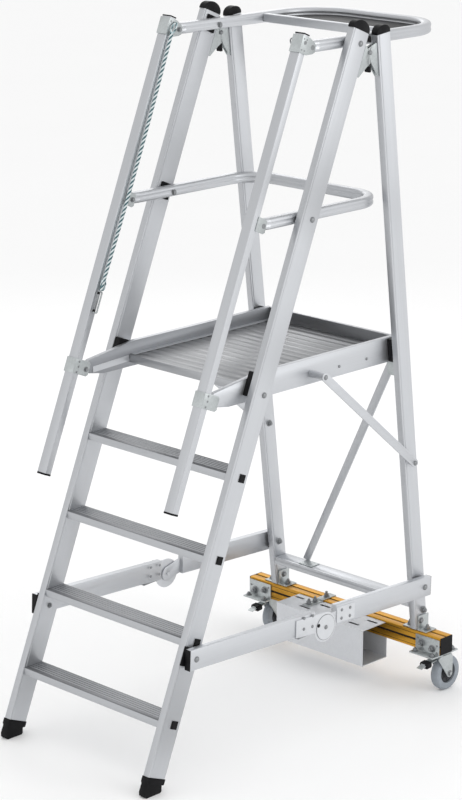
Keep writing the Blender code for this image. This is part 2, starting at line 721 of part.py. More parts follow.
def post_brackets(side, sign):
    """Top and deck brackets wrap the post's front; the knee bracket sits behind it."""
    post_front = -(POST_AHEAD + POST_DEPTH / 2) - GAP
    post_rear = -(POST_AHEAD - POST_DEPTH / 2) + GAP
    front = post_front - 0.0025
    wrap = [(post_front, 0.05)]
    behind = [(-0.06, post_rear), (post_rear + 0.0016, 0.05)]
    top = [(-0.030, front), (0.024, front), (0.024, -0.020), (0.015, 0.006), (0.010, 0.012),
           (-0.012, 0.014), (-0.020, 0.004), (-0.030, -0.020)]
    knee = [(-0.022, -0.031), (0.022, -0.031), (0.022, -0.010), (0.018, 0.010),
            (-0.018, 0.012), (-0.024, 0.004)]
    foot = [(-0.022, front), (0.026, front), (0.026, 0.006), (0.019, 0.0135),
            (-0.016, 0.0135), (-0.022, 0.006)]
    post_bracket("post_top_bracket_" + side, TOP_PIVOT_Z, top, wrap, sign, -0.0125, 0.0125)
    post_bracket("post_knee_bracket_" + side, KNEE_PIVOT_Z, knee, behind, sign, -0.0125, 0.0125)
    post_bracket("post_deck_bracket_" + side, DECK_PIVOT_Z, foot, wrap, sign, -0.0168, -0.0002)


# ---------------------------------------------------------------- side stays
STAY_FRONT = (stile_y(STAY_FRONT_Z), STAY_FRONT_Z)
STAY_REAR = (leg_y(STAY_REAR_Z), STAY_REAR_Z)
_run = (STAY_REAR[0] - STAY_FRONT[0], STAY_REAR[1] - STAY_FRONT[1])
_length = math.hypot(*_run)
STAY_ALONG = (_run[0] / _length, _run[1] / _length)
STAY_UP = (-STAY_ALONG[1], STAY_ALONG[0])
KNEE_ALONG = ((STAY_KNEE_Y - STAY_FRONT[0]) * STAY_ALONG[0]
              + (STAY_KNEE_Z - STAY_FRONT[1]) * STAY_ALONG[1])


def stay_point(s, t):
    """Point s along the stay's centre line from its front pivot and t above it."""
    return local(STAY_FRONT, STAY_ALONG, STAY_UP, s, t)


def stay_front_bar(side, sign):
    h, c = STAY_HEIGHT / 2, 0.002
    end = KNEE_ALONG - 0.047
    start = -STAY_LEAD
    outline = [stay_point(start, -h + c), stay_point(start + c, -h), stay_point(end, -h),
               stay_point(end, h), stay_point(start + c, h), stay_point(start, h - c)]
    body = prism("stay_front_" + side, outline, sign * STAY_X0, sign * STAY_X1, aluminium())
    spacer = prism("stay_spacer_" + side, disc(*STAY_FRONT, 0.014, 12),
                   sign * (STILE_OUTER_X + GAP), sign * (STAY_X0 + 0.002), galvanised())
    combine(body, spacer, "UNION")


def stay_hinge_plate(side, sign):
    """Round hinge plate with its strap riveted to the front bar, and the knee pin."""
    cy, cz = STAY_KNEE_Y, STAY_KNEE_Z
    outline = [(cy - 0.135, cz + 0.056), (cy - 0.020, cz + 0.050)]
    outline += arc(cy, cz, 0.050, 90, -170, 20)
    outline += [(cy - 0.135, cz - 0.002)]
    body = prism("stay_hinge_plate_" + side, outline, sign * (STAY_X1 + GAP),
                 sign * (STAY_X1 + GAP + 0.004), galvanised(), smooth=True)
    pin = prism("knee_pin_" + side, disc(cy, cz, 0.006, 12), sign * 0.350,
                sign * (STAY_X1 + 0.007), galvanised())
    combine(body, pin, "UNION")


def stay_rear_bar(side, sign):
    """Rear bar with its tongue round the knee pin."""
    h, c = STAY_HEIGHT / 2, 0.002
    start = KNEE_ALONG + 0.054
    end = _length + 0.028
    outline = [stay_point(start, -h), stay_point(end - c, -h), stay_point(end, -h + c),
               stay_point(end, h - c), stay_point(end - c, h), stay_point(start, h)]
    body = prism("stay_rear_" + side, outline, sign * STAY_X0, sign * STAY_X1, aluminium())
    cy, cz = STAY_KNEE_Y, STAY_KNEE_Z
    tongue = arc(cy, cz, 0.026, 90, 270, 8)
    tongue += [stay_point(KNEE_ALONG + 0.070, -h + 0.006),
               stay_point(KNEE_ALONG + 0.070, h - 0.012)]
    plate = prism("tongue_" + side, tongue, sign * 0.3535, sign * 0.3595, galvanised())
    combine(body, plate, "UNION")
    hole = prism("hole_knee_" + side, disc(cy, cz, 0.0066, 12), sign * 0.33, sign * 0.38,
                 galvanised())
    combine(body, hole, "DIFFERENCE")


def stay_release_lever(side, sign):
    """Finger strip under the front bar that frees the knee's lock."""
    h = STAY_HEIGHT / 2 + 0.0006
    s0, s1 = KNEE_ALONG - 0.125, KNEE_ALONG - 0.052
    outline = [stay_point(s0, -h - 0.006), stay_point(s0 + 0.006, -h - 0.009),
               stay_point(s1, -h - 0.003), stay_point(s1, -h),
               stay_point(s0 + 0.030, -h), stay_point(s0 + 0.008, -h - 0.005)]
    prism("stay_release_" + side, outline, sign * 0.346, sign * 0.3585, galvanised())


# ---------------------------------------------------------------- rope
def safety_rope():
    """Barrier rope stowed straight down the left post's inner face."""
    x = ROPE_X
    top, bottom = post_line(2.192), post_line(1.418)
    curve = bpy.data.curves.new("safety_rope", "CURVE")
    curve.dimensions = "3D"
    curve.bevel_depth = ROPE_RADIUS
    curve.bevel_resolution = 2
    curve.use_fill_caps = True
    spline = curve.splines.new("POLY")
    count = 26
    spline.points.add(count - 1)
    for k in range(count):
        f = k / (count - 1)
        bow = ROPE_BOW * math.sin(math.pi * f)
        spline.points[k].co = (x, top[0] + (bottom[0] - top[0]) * f + bow,
                               top[1] + (bottom[1] - top[1]) * f, 1.0)
    curve.materials.append(rope_fibre())
    obj = bpy.data.objects.new("safety_rope", curve)
    bpy.context.scene.collection.objects.link(obj)


def snap_hook():
    """Flat closed snap hook on the rope's lower end."""
    x = ROPE_X
    top = post_line(1.417)
    base = lambda s, t: local(top, UP, BACK, s, t)
    outer = []
    for k in range(16):
        a = 2 * math.pi * k / 16
        outer.append(base(-0.038 + 0.037 * math.cos(a), 0.0105 * math.sin(a)))
    body = prism("snap_hook", outer, x - 0.003, x + 0.003, galvanised())
    inner = []
    for k in range(12):
        a = 2 * math.pi * k / 12
        inner.append(base(-0.044 + 0.024 * math.cos(a), 0.0060 * math.sin(a)))
    cut = prism("cut_snap_hook", inner, x - 0.01, x + 0.01, galvanised())
    combine(body, cut, "DIFFERENCE")


# ---------------------------------------------------------------- assembly
for _side, _sign in SIDES:
    front_stile(_side, _sign)
    front_foot(_side, _sign)
    domed_cap("front_cap_" + _side, lambda s, t: stile_local(STILE_TOP_Z, s, t),
              STILE_DEPTH / 2 + 0.001, 0.032, _sign)
    hinge_front_bracket(_side, _sign)
    rear_leg(_side, _sign)
    hinge_rear_bracket(_side, _sign)
    leg_bracket(_side, _sign)
    caster_bracket(_side, _sign)
    caster_fork(_side)
    caster_wheel(_side)
    brake_pedal(_side)
    platform_rail(_side, _sign)
    platform_strut(_side, _sign)
    handrail_post(_side, _sign)
    post_brackets(_side, _sign)
    stay_front_bar(_side, _sign)
    stay_hinge_plate(_side, _sign)
    stay_rear_bar(_side, _sign)
    stay_release_lever(_side, _sign)

for _index in range(TREAD_COUNT):
    tread(_index)

rear_crossbar()
rear_brace()
brace_bracket()
beam()
ballast_box()
box_strap()
platform_deck()
rear_board()
guard_rail("top_guard_rail", TOP_PIVOT_Z, TOP_RAIL_REAR_Y, TOP_RAIL_CORNER)
guard_rail("knee_guard_rail", KNEE_PIVOT_Z, KNEE_RAIL_REAR_Y, KNEE_RAIL_CORNER)
rail_cross_tube()
tool_tray()
safety_rope()
snap_hook()
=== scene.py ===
"""Looks of the rolling warehouse ladder: materials, trim, rope, camera and studio light."""
import json
from math import atan2, copysign, cos, pi, radians, sin

import bmesh
import bpy
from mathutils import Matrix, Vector


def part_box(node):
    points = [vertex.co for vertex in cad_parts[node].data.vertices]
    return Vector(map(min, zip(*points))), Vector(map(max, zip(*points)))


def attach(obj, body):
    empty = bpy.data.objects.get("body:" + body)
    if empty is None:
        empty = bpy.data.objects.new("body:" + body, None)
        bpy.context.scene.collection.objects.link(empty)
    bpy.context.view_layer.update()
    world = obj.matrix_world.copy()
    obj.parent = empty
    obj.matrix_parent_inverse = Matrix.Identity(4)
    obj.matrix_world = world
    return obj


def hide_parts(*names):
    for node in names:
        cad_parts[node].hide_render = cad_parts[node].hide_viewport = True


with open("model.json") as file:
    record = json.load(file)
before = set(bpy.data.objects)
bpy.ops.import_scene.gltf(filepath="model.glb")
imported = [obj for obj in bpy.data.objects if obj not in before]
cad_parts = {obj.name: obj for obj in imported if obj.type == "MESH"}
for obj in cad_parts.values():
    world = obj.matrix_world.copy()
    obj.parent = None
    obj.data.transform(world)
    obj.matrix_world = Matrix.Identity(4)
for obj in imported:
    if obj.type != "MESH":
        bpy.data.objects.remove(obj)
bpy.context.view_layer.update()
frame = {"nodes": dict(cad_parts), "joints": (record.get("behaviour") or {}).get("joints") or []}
NODES = frame["nodes"]
JOINTS = {j["name"]: j for j in frame["joints"]}
SIDES = (("left", -1.0), ("right", 1.0))
GAP = 0.0003                                           # between parts that look as if they touch
X, Y, Z = (1, 0, 0), (0, 1, 0), (0, 0, 1)


# ---- places from the frame
def pivot(joint):
    """Where a joint's axis lies, from the frame."""
    return Vector(JOINTS[joint]["pos_m"])


DECK_PIVOT = pivot("platform_fold")
KNEE_PIVOT = pivot("knee_rail_fold")
TOP_PIVOT = pivot("top_rail_fold")
HINGE = pivot("rear_frame_fold")
ARM_SHIFT = pivot("post_fold_right") - DECK_PIVOT      # stile pivots to post pivots
ARM_SHIFT.x = 0.0
ARM_X = pivot("post_fold_right").x
STILE_UP = (TOP_PIVOT - DECK_PIVOT).normalized()
STILE_BACK = Vector((0.0, STILE_UP.z, -STILE_UP.y))
BOLT_SETBACK = 0.0114                                  # pivots behind the stile's centre line
STILE_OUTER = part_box("front_stile_right")[1].x
STILE_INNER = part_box("front_stile_right")[0].x
STILE_HALF = 0.0375
STAY_INNER = 0.3385                                    # inner face of the stays' bars
SPACER_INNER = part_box("stay_front_right")[0].x
STAY_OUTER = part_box("stay_front_right")[1].x
STAY_MIDDLE = (STAY_OUTER + STAY_INNER) / 2
BOARD_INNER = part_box("platform_rail_right")[0].x
BOARD_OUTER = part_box("platform_rail_right")[1].x
STAY_REAR_Z = 0.359                                    # the stays' rear bolts on the legs
LEG_LOW, LEG_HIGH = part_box("rear_leg_right")
LEG_HALF = 0.030
LEG_LEAN = radians(83.2)
LEG_UP = Vector((0.0, -cos(LEG_LEAN), sin(LEG_LEAN)))
LEG_BACK = Vector((0.0, LEG_UP.z, -LEG_UP.y))
LEG_TOP = Vector((0.0, LEG_LOW.y + LEG_HALF * LEG_BACK.y, LEG_HIGH.z - LEG_HALF * abs(LEG_BACK.z)))


def plane_point(start, up, square, z, along, back):
    """From start along a plane to height z, then moved along and square to the plane."""
    return start + up * ((z - start.z) / up.z) + up * along + square * back


def stile_point(z, along=0.0, back=0.0):
    """A point on the stiles' centre plane at height z, moved along and square to them."""
    start = DECK_PIVOT - STILE_BACK * BOLT_SETBACK
    return plane_point(start, STILE_UP, STILE_BACK, z, along, back)


def leg_point(z, along=0.0, back=0.0):
    """A point on the rear legs' centre plane at height z, moved along and square to them."""
    return plane_point(LEG_TOP, LEG_UP, LEG_BACK, z, along, back)


# ---- camera
def add_camera():
    data = bpy.data.cameras.new("camera")
    data.sensor_width = 36.0
    data.lens = 116.2
    camera = new_object("camera", data)
    camera.location = (5.549, -5.662, 3.311)
    camera.rotation_euler = (radians(90.0 - 15.94), 0.0, radians(44.41))
    bpy.context.scene.camera = camera


# ---- shader helpers
def new_material(name):
    mat = bpy.data.materials.new(name)
    mat.use_nodes = True
    return mat, mat.node_tree, mat.node_tree.nodes["Principled BSDF"]


def node(tree, kind, **settings):
    made = tree.nodes.new(kind)
    for key, value in settings.items():
        setattr(made, key, value)
    return made


def object_coordinates(tree, turn=(0.0, 0.0, 0.0), scale=(1.0, 1.0, 1.0)):
    coordinates = node(tree, "ShaderNodeTexCoord")
    turned = node(tree, "ShaderNodeMapping")
    turned.inputs["Rotation"].default_value = turn
    tree.links.new(coordinates.outputs["Object"], turned.inputs["Vector"])
    scaled = node(tree, "ShaderNodeMapping")
    scaled.inputs["Scale"].default_value = scale
    tree.links.new(turned.outputs["Vector"], scaled.inputs["Vector"])
    return scaled.outputs["Vector"]


def noise(tree, vector, scale, detail=3.0, rough=0.55):
    made = node(tree, "ShaderNodeTexNoise")
    made.inputs["Scale"].default_value = scale
    made.inputs["Detail"].default_value = detail
    made.inputs["Roughness"].default_value = rough
    tree.links.new(vector, made.inputs["Vector"])
    return made.outputs["Fac"]


def remap(tree, value, low, high, out_low=0.0, out_high=1.0):
    made = node(tree, "ShaderNodeMapRange")
    for socket, number in (("From Min", low), ("From Max", high),
                           ("To Min", out_low), ("To Max", out_high)):
        made.inputs[socket].default_value = number
    tree.links.new(value, made.inputs["Value"])
    return made.outputs["Result"]


def blend_colour(tree, factor, first, second):
    made = node(tree, "ShaderNodeMix", data_type="RGBA")
    for socket, value in (("A", first), ("B", second)):
        target = next(s for s in made.inputs if s.name == socket and s.type == "RGBA")
        if isinstance(value, tuple):
            target.default_value = (*value, 1.0)
        else:
            tree.links.new(value, target)
    tree.links.new(factor, made.inputs[0])
    return next(s for s in made.outputs if s.type == "RGBA")


def maths(tree, operation, first, second):
    made = node(tree, "ShaderNodeMath", operation=operation)
    for k, value in enumerate((first, second)):
        if isinstance(value, float):
            made.inputs[k].default_value = value
        else:
            tree.links.new(value, made.inputs[k])
    return made.outputs[0]


def shaded(colour, factor):
    return tuple(c * factor for c in colour)


def paint(tree, shader, base, rough, metallic=0.0):
    """Plug in the colour and the roughness, which is a socket or a number."""
    tree.links.new(base, shader.inputs["Base Color"])
    if isinstance(rough, float):
        shader.inputs["Roughness"].default_value = rough
    else:
        tree.links.new(rough, shader.inputs["Roughness"])
    shader.inputs["Metallic"].default_value = metallic


def bump(tree, shader, height, strength, distance):
    made = node(tree, "ShaderNodeBump")
    made.inputs["Strength"].default_value = strength
    made.inputs["Distance"].default_value = distance
    tree.links.new(height, made.inputs["Height"])
    tree.links.new(made.outputs["Normal"], shader.inputs["Normal"])


# ---- materials
def painted_facing_shade(tree, axis, low, high):
    """0 to 1 as the surface normal's part along one axis goes from low to high; it places painted
    shade by the way a face looks.
    """
    geometry = node(tree, "ShaderNodeNewGeometry")
    split = node(tree, "ShaderNodeSeparateXYZ")
    tree.links.new(geometry.outputs["Normal"], split.inputs["Vector"])
    return remap(tree, split.outputs[axis], low, high)


def inner_shade_mask(tree):
    """1 on faces that look across the ladder at its other side, 0 elsewhere: where shade is
    painted on the inner faces.
    """
    geometry = node(tree, "ShaderNodeNewGeometry")
    masks = []
    for output in ("Normal", "Position"):
        split = node(tree, "ShaderNodeSeparateXYZ")
        tree.links.new(geometry.outputs[output], split.inputs["Vector"])
        masks.append(split.outputs["X"])
    return remap(tree, maths(tree, "MULTIPLY", *masks), -0.02, -0.20)


def aluminium(name, turn, colour, painted_top_shade=None, painted_inner_shade=None, painted_reflection=0.0):
    """Extruded aluminium: fine die lines along local Z, soft smudges, satin sheen, and shade
    painted by the way faces look.

    The last argument paints darker bands along the length: a painted reflection of what stands
    round the bars.
    """
    mat, tree, shader = new_material(name)
    lines = noise(tree, object_coordinates(tree, turn, (420.0, 420.0, 2.5)), 1.0)
    smudge = noise(tree, object_coordinates(tree, turn, (9.0, 9.0, 3.0)), 1.0, 4.0)
    base = blend_colour(tree, remap(tree, lines, 0.3, 0.7), shaded(colour, 0.93), colour)
    base = blend_colour(tree, remap(tree, smudge, 0.35, 0.75, 0.0, 0.6), base,
                        shaded(colour, 0.95))
    # painted reflection: broad darker bands along the length
    if painted_reflection:
        bands = noise(tree, object_coordinates(tree, turn, (0.6, 0.6, 2.1)), 1.0, 1.0)
        base = blend_colour(tree, remap(tree, bands, 0.50, 0.72), base,
                            shaded(colour, 1.0 - painted_reflection))
    # painted shade: faces that look to the front (-Y) are drawn darker
    base = blend_colour(tree, painted_facing_shade(tree, "Y", -0.5, -0.9), base, shaded(colour, 0.80))
    # painted shade: faces that look across at the ladder's other side get a darker colour
    if painted_inner_shade:
        base = blend_colour(tree, inner_shade_mask(tree), base, painted_inner_shade)
    # painted shade: faces that look up are drawn darker, standing in for the dark reflection on
    # tops
    if painted_top_shade:
        base = blend_colour(tree, painted_facing_shade(tree, "Z", 0.6, 0.95), base, painted_top_shade)
    spread = maths(tree, "ADD", remap(tree, lines, 0.3, 0.7, 0.36, 0.46),
                   remap(tree, smudge, 0.3, 0.7, -0.04, 0.05))
    paint(tree, shader, base, spread, 0.85)
    bump(tree, shader, lines, 0.12, 0.0004)
    return mat


def zinc(name, colour, metallic=0.9, patch=0.86):
    """Galvanised steel: crystal patches (patch is their shade), blotches and fine pits."""
    mat, tree, shader = new_material(name)
    place = object_coordinates(tree)
    cells = node(tree, "ShaderNodeTexVoronoi")
    cells.inputs["Scale"].default_value = 190.0
    tree.links.new(place, cells.inputs["Vector"])
    blotch = noise(tree, place, 35.0, 5.0)
    pits = noise(tree, place, 900.0, 2.0)
    dull = shaded(colour, patch)
    base = blend_colour(tree, remap(tree, cells.outputs["Color"], 0.0, 1.0), dull, colour)
    base = blend_colour(tree, remap(tree, blotch, 0.4, 0.7, 0.0, 0.5), base, dull)
    paint(tree, shader, base, remap(tree, blotch, 0.3, 0.7, 0.34, 0.52), metallic)
    bump(tree, shader, pits, 0.15, 0.0003)
    return mat


def anodised_gold():
    """Gold anodised aluminium with lines along X and paler scuffs."""
    mat, tree, shader = new_material("anodised_gold")
    lines = noise(tree, object_coordinates(tree, (0, 0, 0), (2.0, 380.0, 380.0)), 1.0)
    scuffs = noise(tree, object_coordinates(tree), 26.0, 6.0, 0.7)
    base = blend_colour(tree, remap(tree, lines, 0.3, 0.7),
                        (0.55, 0.27, 0.022), (0.64, 0.33, 0.038))
    base = blend_colour(tree, remap(tree, scuffs, 0.52, 0.72, 0.0, 0.35), base, (0.78, 0.46, 0.12))
    paint(tree, shader, base, remap(tree, scuffs, 0.3, 0.7, 0.33, 0.46), 0.8)
    bump(tree, shader, lines, 0.1, 0.0004)
    return mat


def moulded(name, colour, rough, grain=700.0, depth=0.0003):
    """Moulded plastic or rubber with fine grain and slightly paler scuffs."""
    mat, tree, shader = new_material(name)
    place = object_coordinates(tree)
    fine = noise(tree, place, grain, 2.0)
    scuffs = noise(tree, place, 40.0, 5.0, 0.65)
    pale = tuple(c * 1.4 + 0.004 for c in colour)
    base = blend_colour(tree, remap(tree, scuffs, 0.5, 0.75, 0.0, 0.6), colour, pale)
    paint(tree, shader, base, remap(tree, fine, 0.3, 0.7, rough - 0.06, rough + 0.06))
    shader.inputs["Specular IOR Level"].default_value = 0.12
    bump(tree, shader, fine, 0.25, depth)
    return mat


def fibre(name, colour):
    """Twisted rope fibre: fine threads along the strand and soft sheen."""
    mat, tree, shader = new_material(name)
    threads = noise(tree, object_coordinates(tree, (0, 0, 0), (900.0, 900.0, 350.0)), 1.0, 3.0)
    base = blend_colour(tree, remap(tree, threads, 0.3, 0.7), shaded(colour, 0.78), colour)
    paint(tree, shader, base, 0.85)
    shader.inputs["Sheen Weight"].default_value = 0.3
    bump(tree, shader, threads, 0.4, 0.0006)
    return mat


def pale_floor():
    mat, tree, shader = new_material("floor_paint")
    soft = noise(tree, object_coordinates(tree), 1.2, 2.0)
    base = blend_colour(tree, soft, (0.955, 0.955, 0.955), (0.97, 0.97, 0.97))
    paint(tree, shader, base, 0.9)
    shader.inputs["Specular IOR Level"].default_value = 0.1
    return mat


SILVER = (0.60, 0.615, 0.64)
STILE_TURN = (pi / 2 - atan2(STILE_UP.z, STILE_UP.y), 0.0, 0.0)
LEG_TURN = (pi / 2 - atan2(LEG_UP.z, LEG_UP.y), 0.0, 0.0)
X_TURN = (0.0, pi / 2, 0.0)
Y_TURN = (pi / 2, 0.0, 0.0)
ALU_STILE = aluminium("aluminium_stile", STILE_TURN, SILVER, painted_reflection=0.30)
ALU_LEG = aluminium("aluminium_leg", LEG_TURN, SILVER, painted_reflection=0.18)
ALU_X = aluminium("aluminium_across", X_TURN, SILVER)
ALU_Y = aluminium("aluminium_lengthways", Y_TURN, SILVER)
ALU_RAIL = aluminium("aluminium_rail", Y_TURN, SILVER, painted_top_shade=(0.50, 0.51, 0.53), painted_reflection=0.25)
ALU_BOARD = aluminium("aluminium_board", Y_TURN, SILVER, painted_top_shade=(0.45, 0.46, 0.48),
                      painted_inner_shade=(0.31, 0.32, 0.34))
ALU_REAR_BOARD = aluminium("aluminium_rear_board", X_TURN, (0.57, 0.58, 0.60))
ALU_TREAD = aluminium("aluminium_tread", X_TURN, SILVER, painted_top_shade=(0.20, 0.205, 0.215))
# the deck's silver is drawn darker than the other aluminium: painted shade on the deck
ALU_DECK = aluminium("aluminium_deck", X_TURN, (0.50, 0.51, 0.53), painted_top_shade=(0.30, 0.305, 0.315))
ZINC = zinc("zinc_plate", (0.51, 0.54, 0.545))
SHEET = zinc("box_sheet", (0.65, 0.665, 0.69), 0.4, 0.95)
BOLT_STEEL = zinc("bolt_steel", (0.30, 0.31, 0.32))
GOLD = anodised_gold()
BLACK = moulded("black_plastic", (0.006, 0.006, 0.007), 0.45)
# painted shade: a dark material for the shade inside the beam's slots
SLOT_SHADE = moulded("slot_shadow", (0.030, 0.022, 0.014), 0.6)
FOOT_RUBBER = moulded("foot_rubber", (0.008, 0.008, 0.009), 0.62, 450.0, 0.0005)
TYRE = moulded("grey_tyre", (0.27, 0.295, 0.325), 0.55, 500.0, 0.0004)
HUB = moulded("hub_plastic", (0.045, 0.047, 0.052), 0.45)
ROPE_WHITE = fibre("rope_white", (0.80, 0.87, 0.88))
ROPE_TEAL = fibre("rope_teal", (0.055, 0.135, 0.155))
ROPE_PALE = fibre("rope_pale_blue", (0.42, 0.58, 0.62))


# ---- CAD nodes keep their shape
def finish_of(name):
    """The material of a CAD node that stays visible."""
    rules = (
        (("front_stile", "handrail_post"), ALU_STILE),
        (("rear_leg",), ALU_LEG),
        (("tread",), ALU_TREAD),
        (("platform_deck",), ALU_DECK),
        (("platform_rail",), ALU_BOARD),
        (("platform_strut", "stay_front_", "stay_rear_"), ALU_Y),
        (("platform_rear",), ALU_REAR_BOARD),
        (("rear_crossbar", "rail_cross", "rear_brace"), ALU_X),
        (("caster_beam",), GOLD),
        (("stay_hinge_plate",), SHEET),
        (("stay_release",), BOLT_STEEL),
        (("front_foot",), FOOT_RUBBER),
        (("front_cap", "brake_pedal", "tool_tray"), BLACK),
    )
    for starts, mat in rules:
        if name.startswith(starts):
            return mat
    return ZINC


def weld_points(obj):
    obj.modifiers.new("weld", "WELD").merge_threshold = 0.00001


def round_edges(obj, width, angle):
    bevel = obj.modifiers.new("edge", "BEVEL")
    bevel.width = width
    bevel.segments = 2
    bevel.limit_method = "ANGLE"
    bevel.angle_limit = radians(angle)
    obj.data.shade_smooth()
    return bevel


def edge_finish(obj):
    """Weld doubled points and round the sharp edges."""
    weld_points(obj)
    round_edges(obj, 0.0006, 40).harden_normals = True


def stand_in(obj, node_name):
    """Let a reshaped copy of a node on the rear frame take that node's place."""
    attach(obj, "rear_frame")
    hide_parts(node_name)


def wear(obj, mat):
    obj.data.materials.clear()
    obj.data.materials.append(mat)


def dress_nodes():
    for name, obj in NODES.items():
        wear(obj, finish_of(name))
        edge_finish(obj)


# ---- piece builder
def angles(count, closed=False):
    """Evenly spaced angles once round; closed repeats the first at the end."""
    return [2 * pi * k / count for k in range(count + closed)]


def basis(direction):
    """Two unit vectors square to direction."""
    direction = Vector(direction).normalized()
    helper = Vector((0, 0, 1)) if abs(direction.z) < 0.9 else Vector((0, 1, 0))
    first = direction.cross(helper).normalized()
    return first, direction.cross(first)


class Lot:
    """Collects closed shapes that end up together in one piece."""

    def __init__(self):
        self.verts = []
        self.faces = []
        self.slots = []
        self.slot = 0

    def add(self, verts, faces):
        start = len(self.verts)
        self.verts += [tuple(v) for v in verts]
        self.faces += [tuple(i + start for i in face) for face in faces]
        self.slots += [self.slot] * len(faces)

    def turned(self, profile, centre, direction, segments=20):
        """Turn (height, radius) points about direction; the shape is closed at both ends."""
        u, v = basis(direction)
        axis = Vector(direction).normalized()
        centre = Vector(centre)
        self.ring_stack([[centre + axis * height + (u * cos(a) + v * sin(a)) * radius
                          for a in angles(segments)] for height, radius in profile])

    def ring_stack(self, rings):
        """Skin rings of equal length into a closed shape."""
        n = len(rings[0])
        verts = [p for ring in rings for p in ring]
        last = (len(rings) - 1) * n
        faces = [tuple(range(n))[::-1], tuple(range(last, last + n))]
        for k in range(len(rings) - 1):
            for i in range(n):
                j = (i + 1) % n
                faces.append((k * n + i, k * n + j, (k + 1) * n + j, (k + 1) * n + i))
        self.add(verts, faces)

    def slab(self, centre, size, along=(0, 1, 0), up=(0, 0, 1), chamfer=0.0008):
        """A block with chamfered edges; size is (along, up, side)."""
        a, b = Vector(along).normalized(), Vector(up).normalized()
        c = a.cross(b)
        la, lb, lc = (s / 2 for s in size)
        k = min(chamfer, la * 0.45, lb * 0.45, lc * 0.45)
        outline = [(la - k, -lb), (la, -lb + k), (la, lb - k), (la - k, lb),
                   (-la + k, lb), (-la, lb - k), (-la, -lb + k), (-la + k, -lb)]
        rings = []
        for shift, shrink in ((-lc, k), (-lc + k, 0.0), (lc - k, 0.0), (lc, k)):
            ring = []
            for p, q in outline:
                p -= copysign(min(shrink, abs(p)), p)
                q -= copysign(min(shrink, abs(q)), q)
                ring.append(Vector(centre) + a * p + b * q + c * shift)
            rings.append(ring)
        self.ring_stack(rings)

    def tube(self, path, radius, segments=10):
        """A round bar along a path of points."""
        path = [Vector(p) for p in path]
        rings = []
        u = None
        for k, point in enumerate(path):
            ahead = path[min(k + 1, len(path) - 1)] - path[max(k - 1, 0)]
            ahead.normalize()
            u = basis(ahead)[0] if u is None else (u - ahead * u.dot(ahead)).normalized()
            v = ahead.cross(u)
            rings.append([point + (u * cos(a) + v * sin(a)) * radius for a in angles(segments)])
        self.ring_stack(rings)

    def bolt(self, centre, direction, size=0.006, height=None, stud=0.0):
        """Hexagon head on a washer; size is its half width, stud a thread end above it."""
        height = size * 0.75 if height is None else height
        self.turned([(0.0, size * 1.35), (0.0010, size * 1.40), (0.0014, size * 1.32)],
                    centre, direction, 24)
        self.turned([(0.0014, size), (height - size * 0.12, size), (height, size * 0.86)],
                    centre, direction, 6)
        if stud:
            self.turned([(height, size * 0.55), (height + stud - 0.001, size * 0.55),
                         (height + stud, size * 0.42)], centre, direction, 12)

    def flush_head(self, centre, direction, size=0.006):
        """Flat head that stands only half a millimetre proud, with a socket in it."""
        self.turned([(0.0, size), (0.0004, size), (0.0005, size * 0.92), (0.0005, size * 0.45),
                     (0.0001, size * 0.40)], centre, direction, 20)

    def round_head(self, centre, direction, size=0.006):
        """Domed head on a thin flange, as on a cup bolt or a large rivet."""
        profile = [(0.0, size), (0.0008, size)]
        for k in range(6):
            a = pi / 2 * k / 6
            profile.append((0.0010 + size * 0.5 * sin(a), size * 0.86 * cos(a)))
        profile.append((0.0010 + size * 0.5, size * 0.12))
        self.turned(profile, centre, direction, 20)

    def make(self, name, mats, body, sharp=35):
        """One piece of all shapes, wearing the materials given in their order."""
        mesh = new_mesh(name, self.verts, self.faces)
        mats = mats if isinstance(mats, list) else [mats]
        for mat in mats:
            mesh.materials.append(mat)
        mesh.polygons.foreach_set("material_index", self.slots)
        obj = new_object(name, mesh)
        recalculate(mesh)
        mesh.shade_smooth()
        mesh.set_sharp_from_angle(angle=radians(sharp))
        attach(obj, body)
        return obj


def new_mesh(name, verts, faces):
    mesh = bpy.data.meshes.new(name)
    mesh.from_pydata(verts, [], faces)
    return mesh


def new_object(name, data):
    made = bpy.data.objects.new(name, data)
    bpy.context.scene.collection.objects.link(made)
    return made


def recalculate(mesh):
    work = bmesh.new()
    work.from_mesh(mesh)
    bmesh.ops.recalc_face_normals(work, faces=work.faces)
    work.to_mesh(mesh)
    work.free()


def block(name, mat, body, *shape):
    """A piece that is one slab; shape is what Lot.slab takes."""
    lot = Lot()
    lot.slab(*shape)
    return lot.make(name, mat, body)


def at(x, point):
    """A YZ point placed at x."""
    return Vector((x, point.y, point.z))


# ---- rope
ROPE_RADIUS = 0.006
ROPE_POINTS = 26
ROPE_BOW = 0.007
POST_AHEAD = 0.037
POST_HALF_WIDTH = 0.019
ROPE_X = -0.2557


def post_point(z):
    """A point on the posts' centre plane at height z."""
    start = TOP_PIVOT + ARM_SHIFT - STILE_BACK * POST_AHEAD
    return plane_point(start, STILE_UP, STILE_BACK, z, 0.0, 0.0)


def rope_route():
    top, bottom = post_point(2.192), post_point(1.418)
    points = []
    for k in range(ROPE_POINTS):
        f = k / (ROPE_POINTS - 1)
        point = top.lerp(bottom, f)
        points.append(Vector((ROPE_X, point.y + ROPE_BOW * sin(pi * f), point.z)))
    return points


def route_length(points):
    return sum((b - a).length for a, b in zip(points, points[1:]))


def smooth_route(points, steps):
    """Evenly spaced points along a polyline."""
    total = route_length(points)
    made = []
    for k in range(steps + 1):
        goal = total * k / steps
        for a, b in zip(points, points[1:]):
            span = (b - a).length
            if goal <= span + 1e-9:
                made.append(a.lerp(b, min(1.0, goal / span)))
                break
            goal -= span
        else:
            made.append(points[-1].copy())
    return made


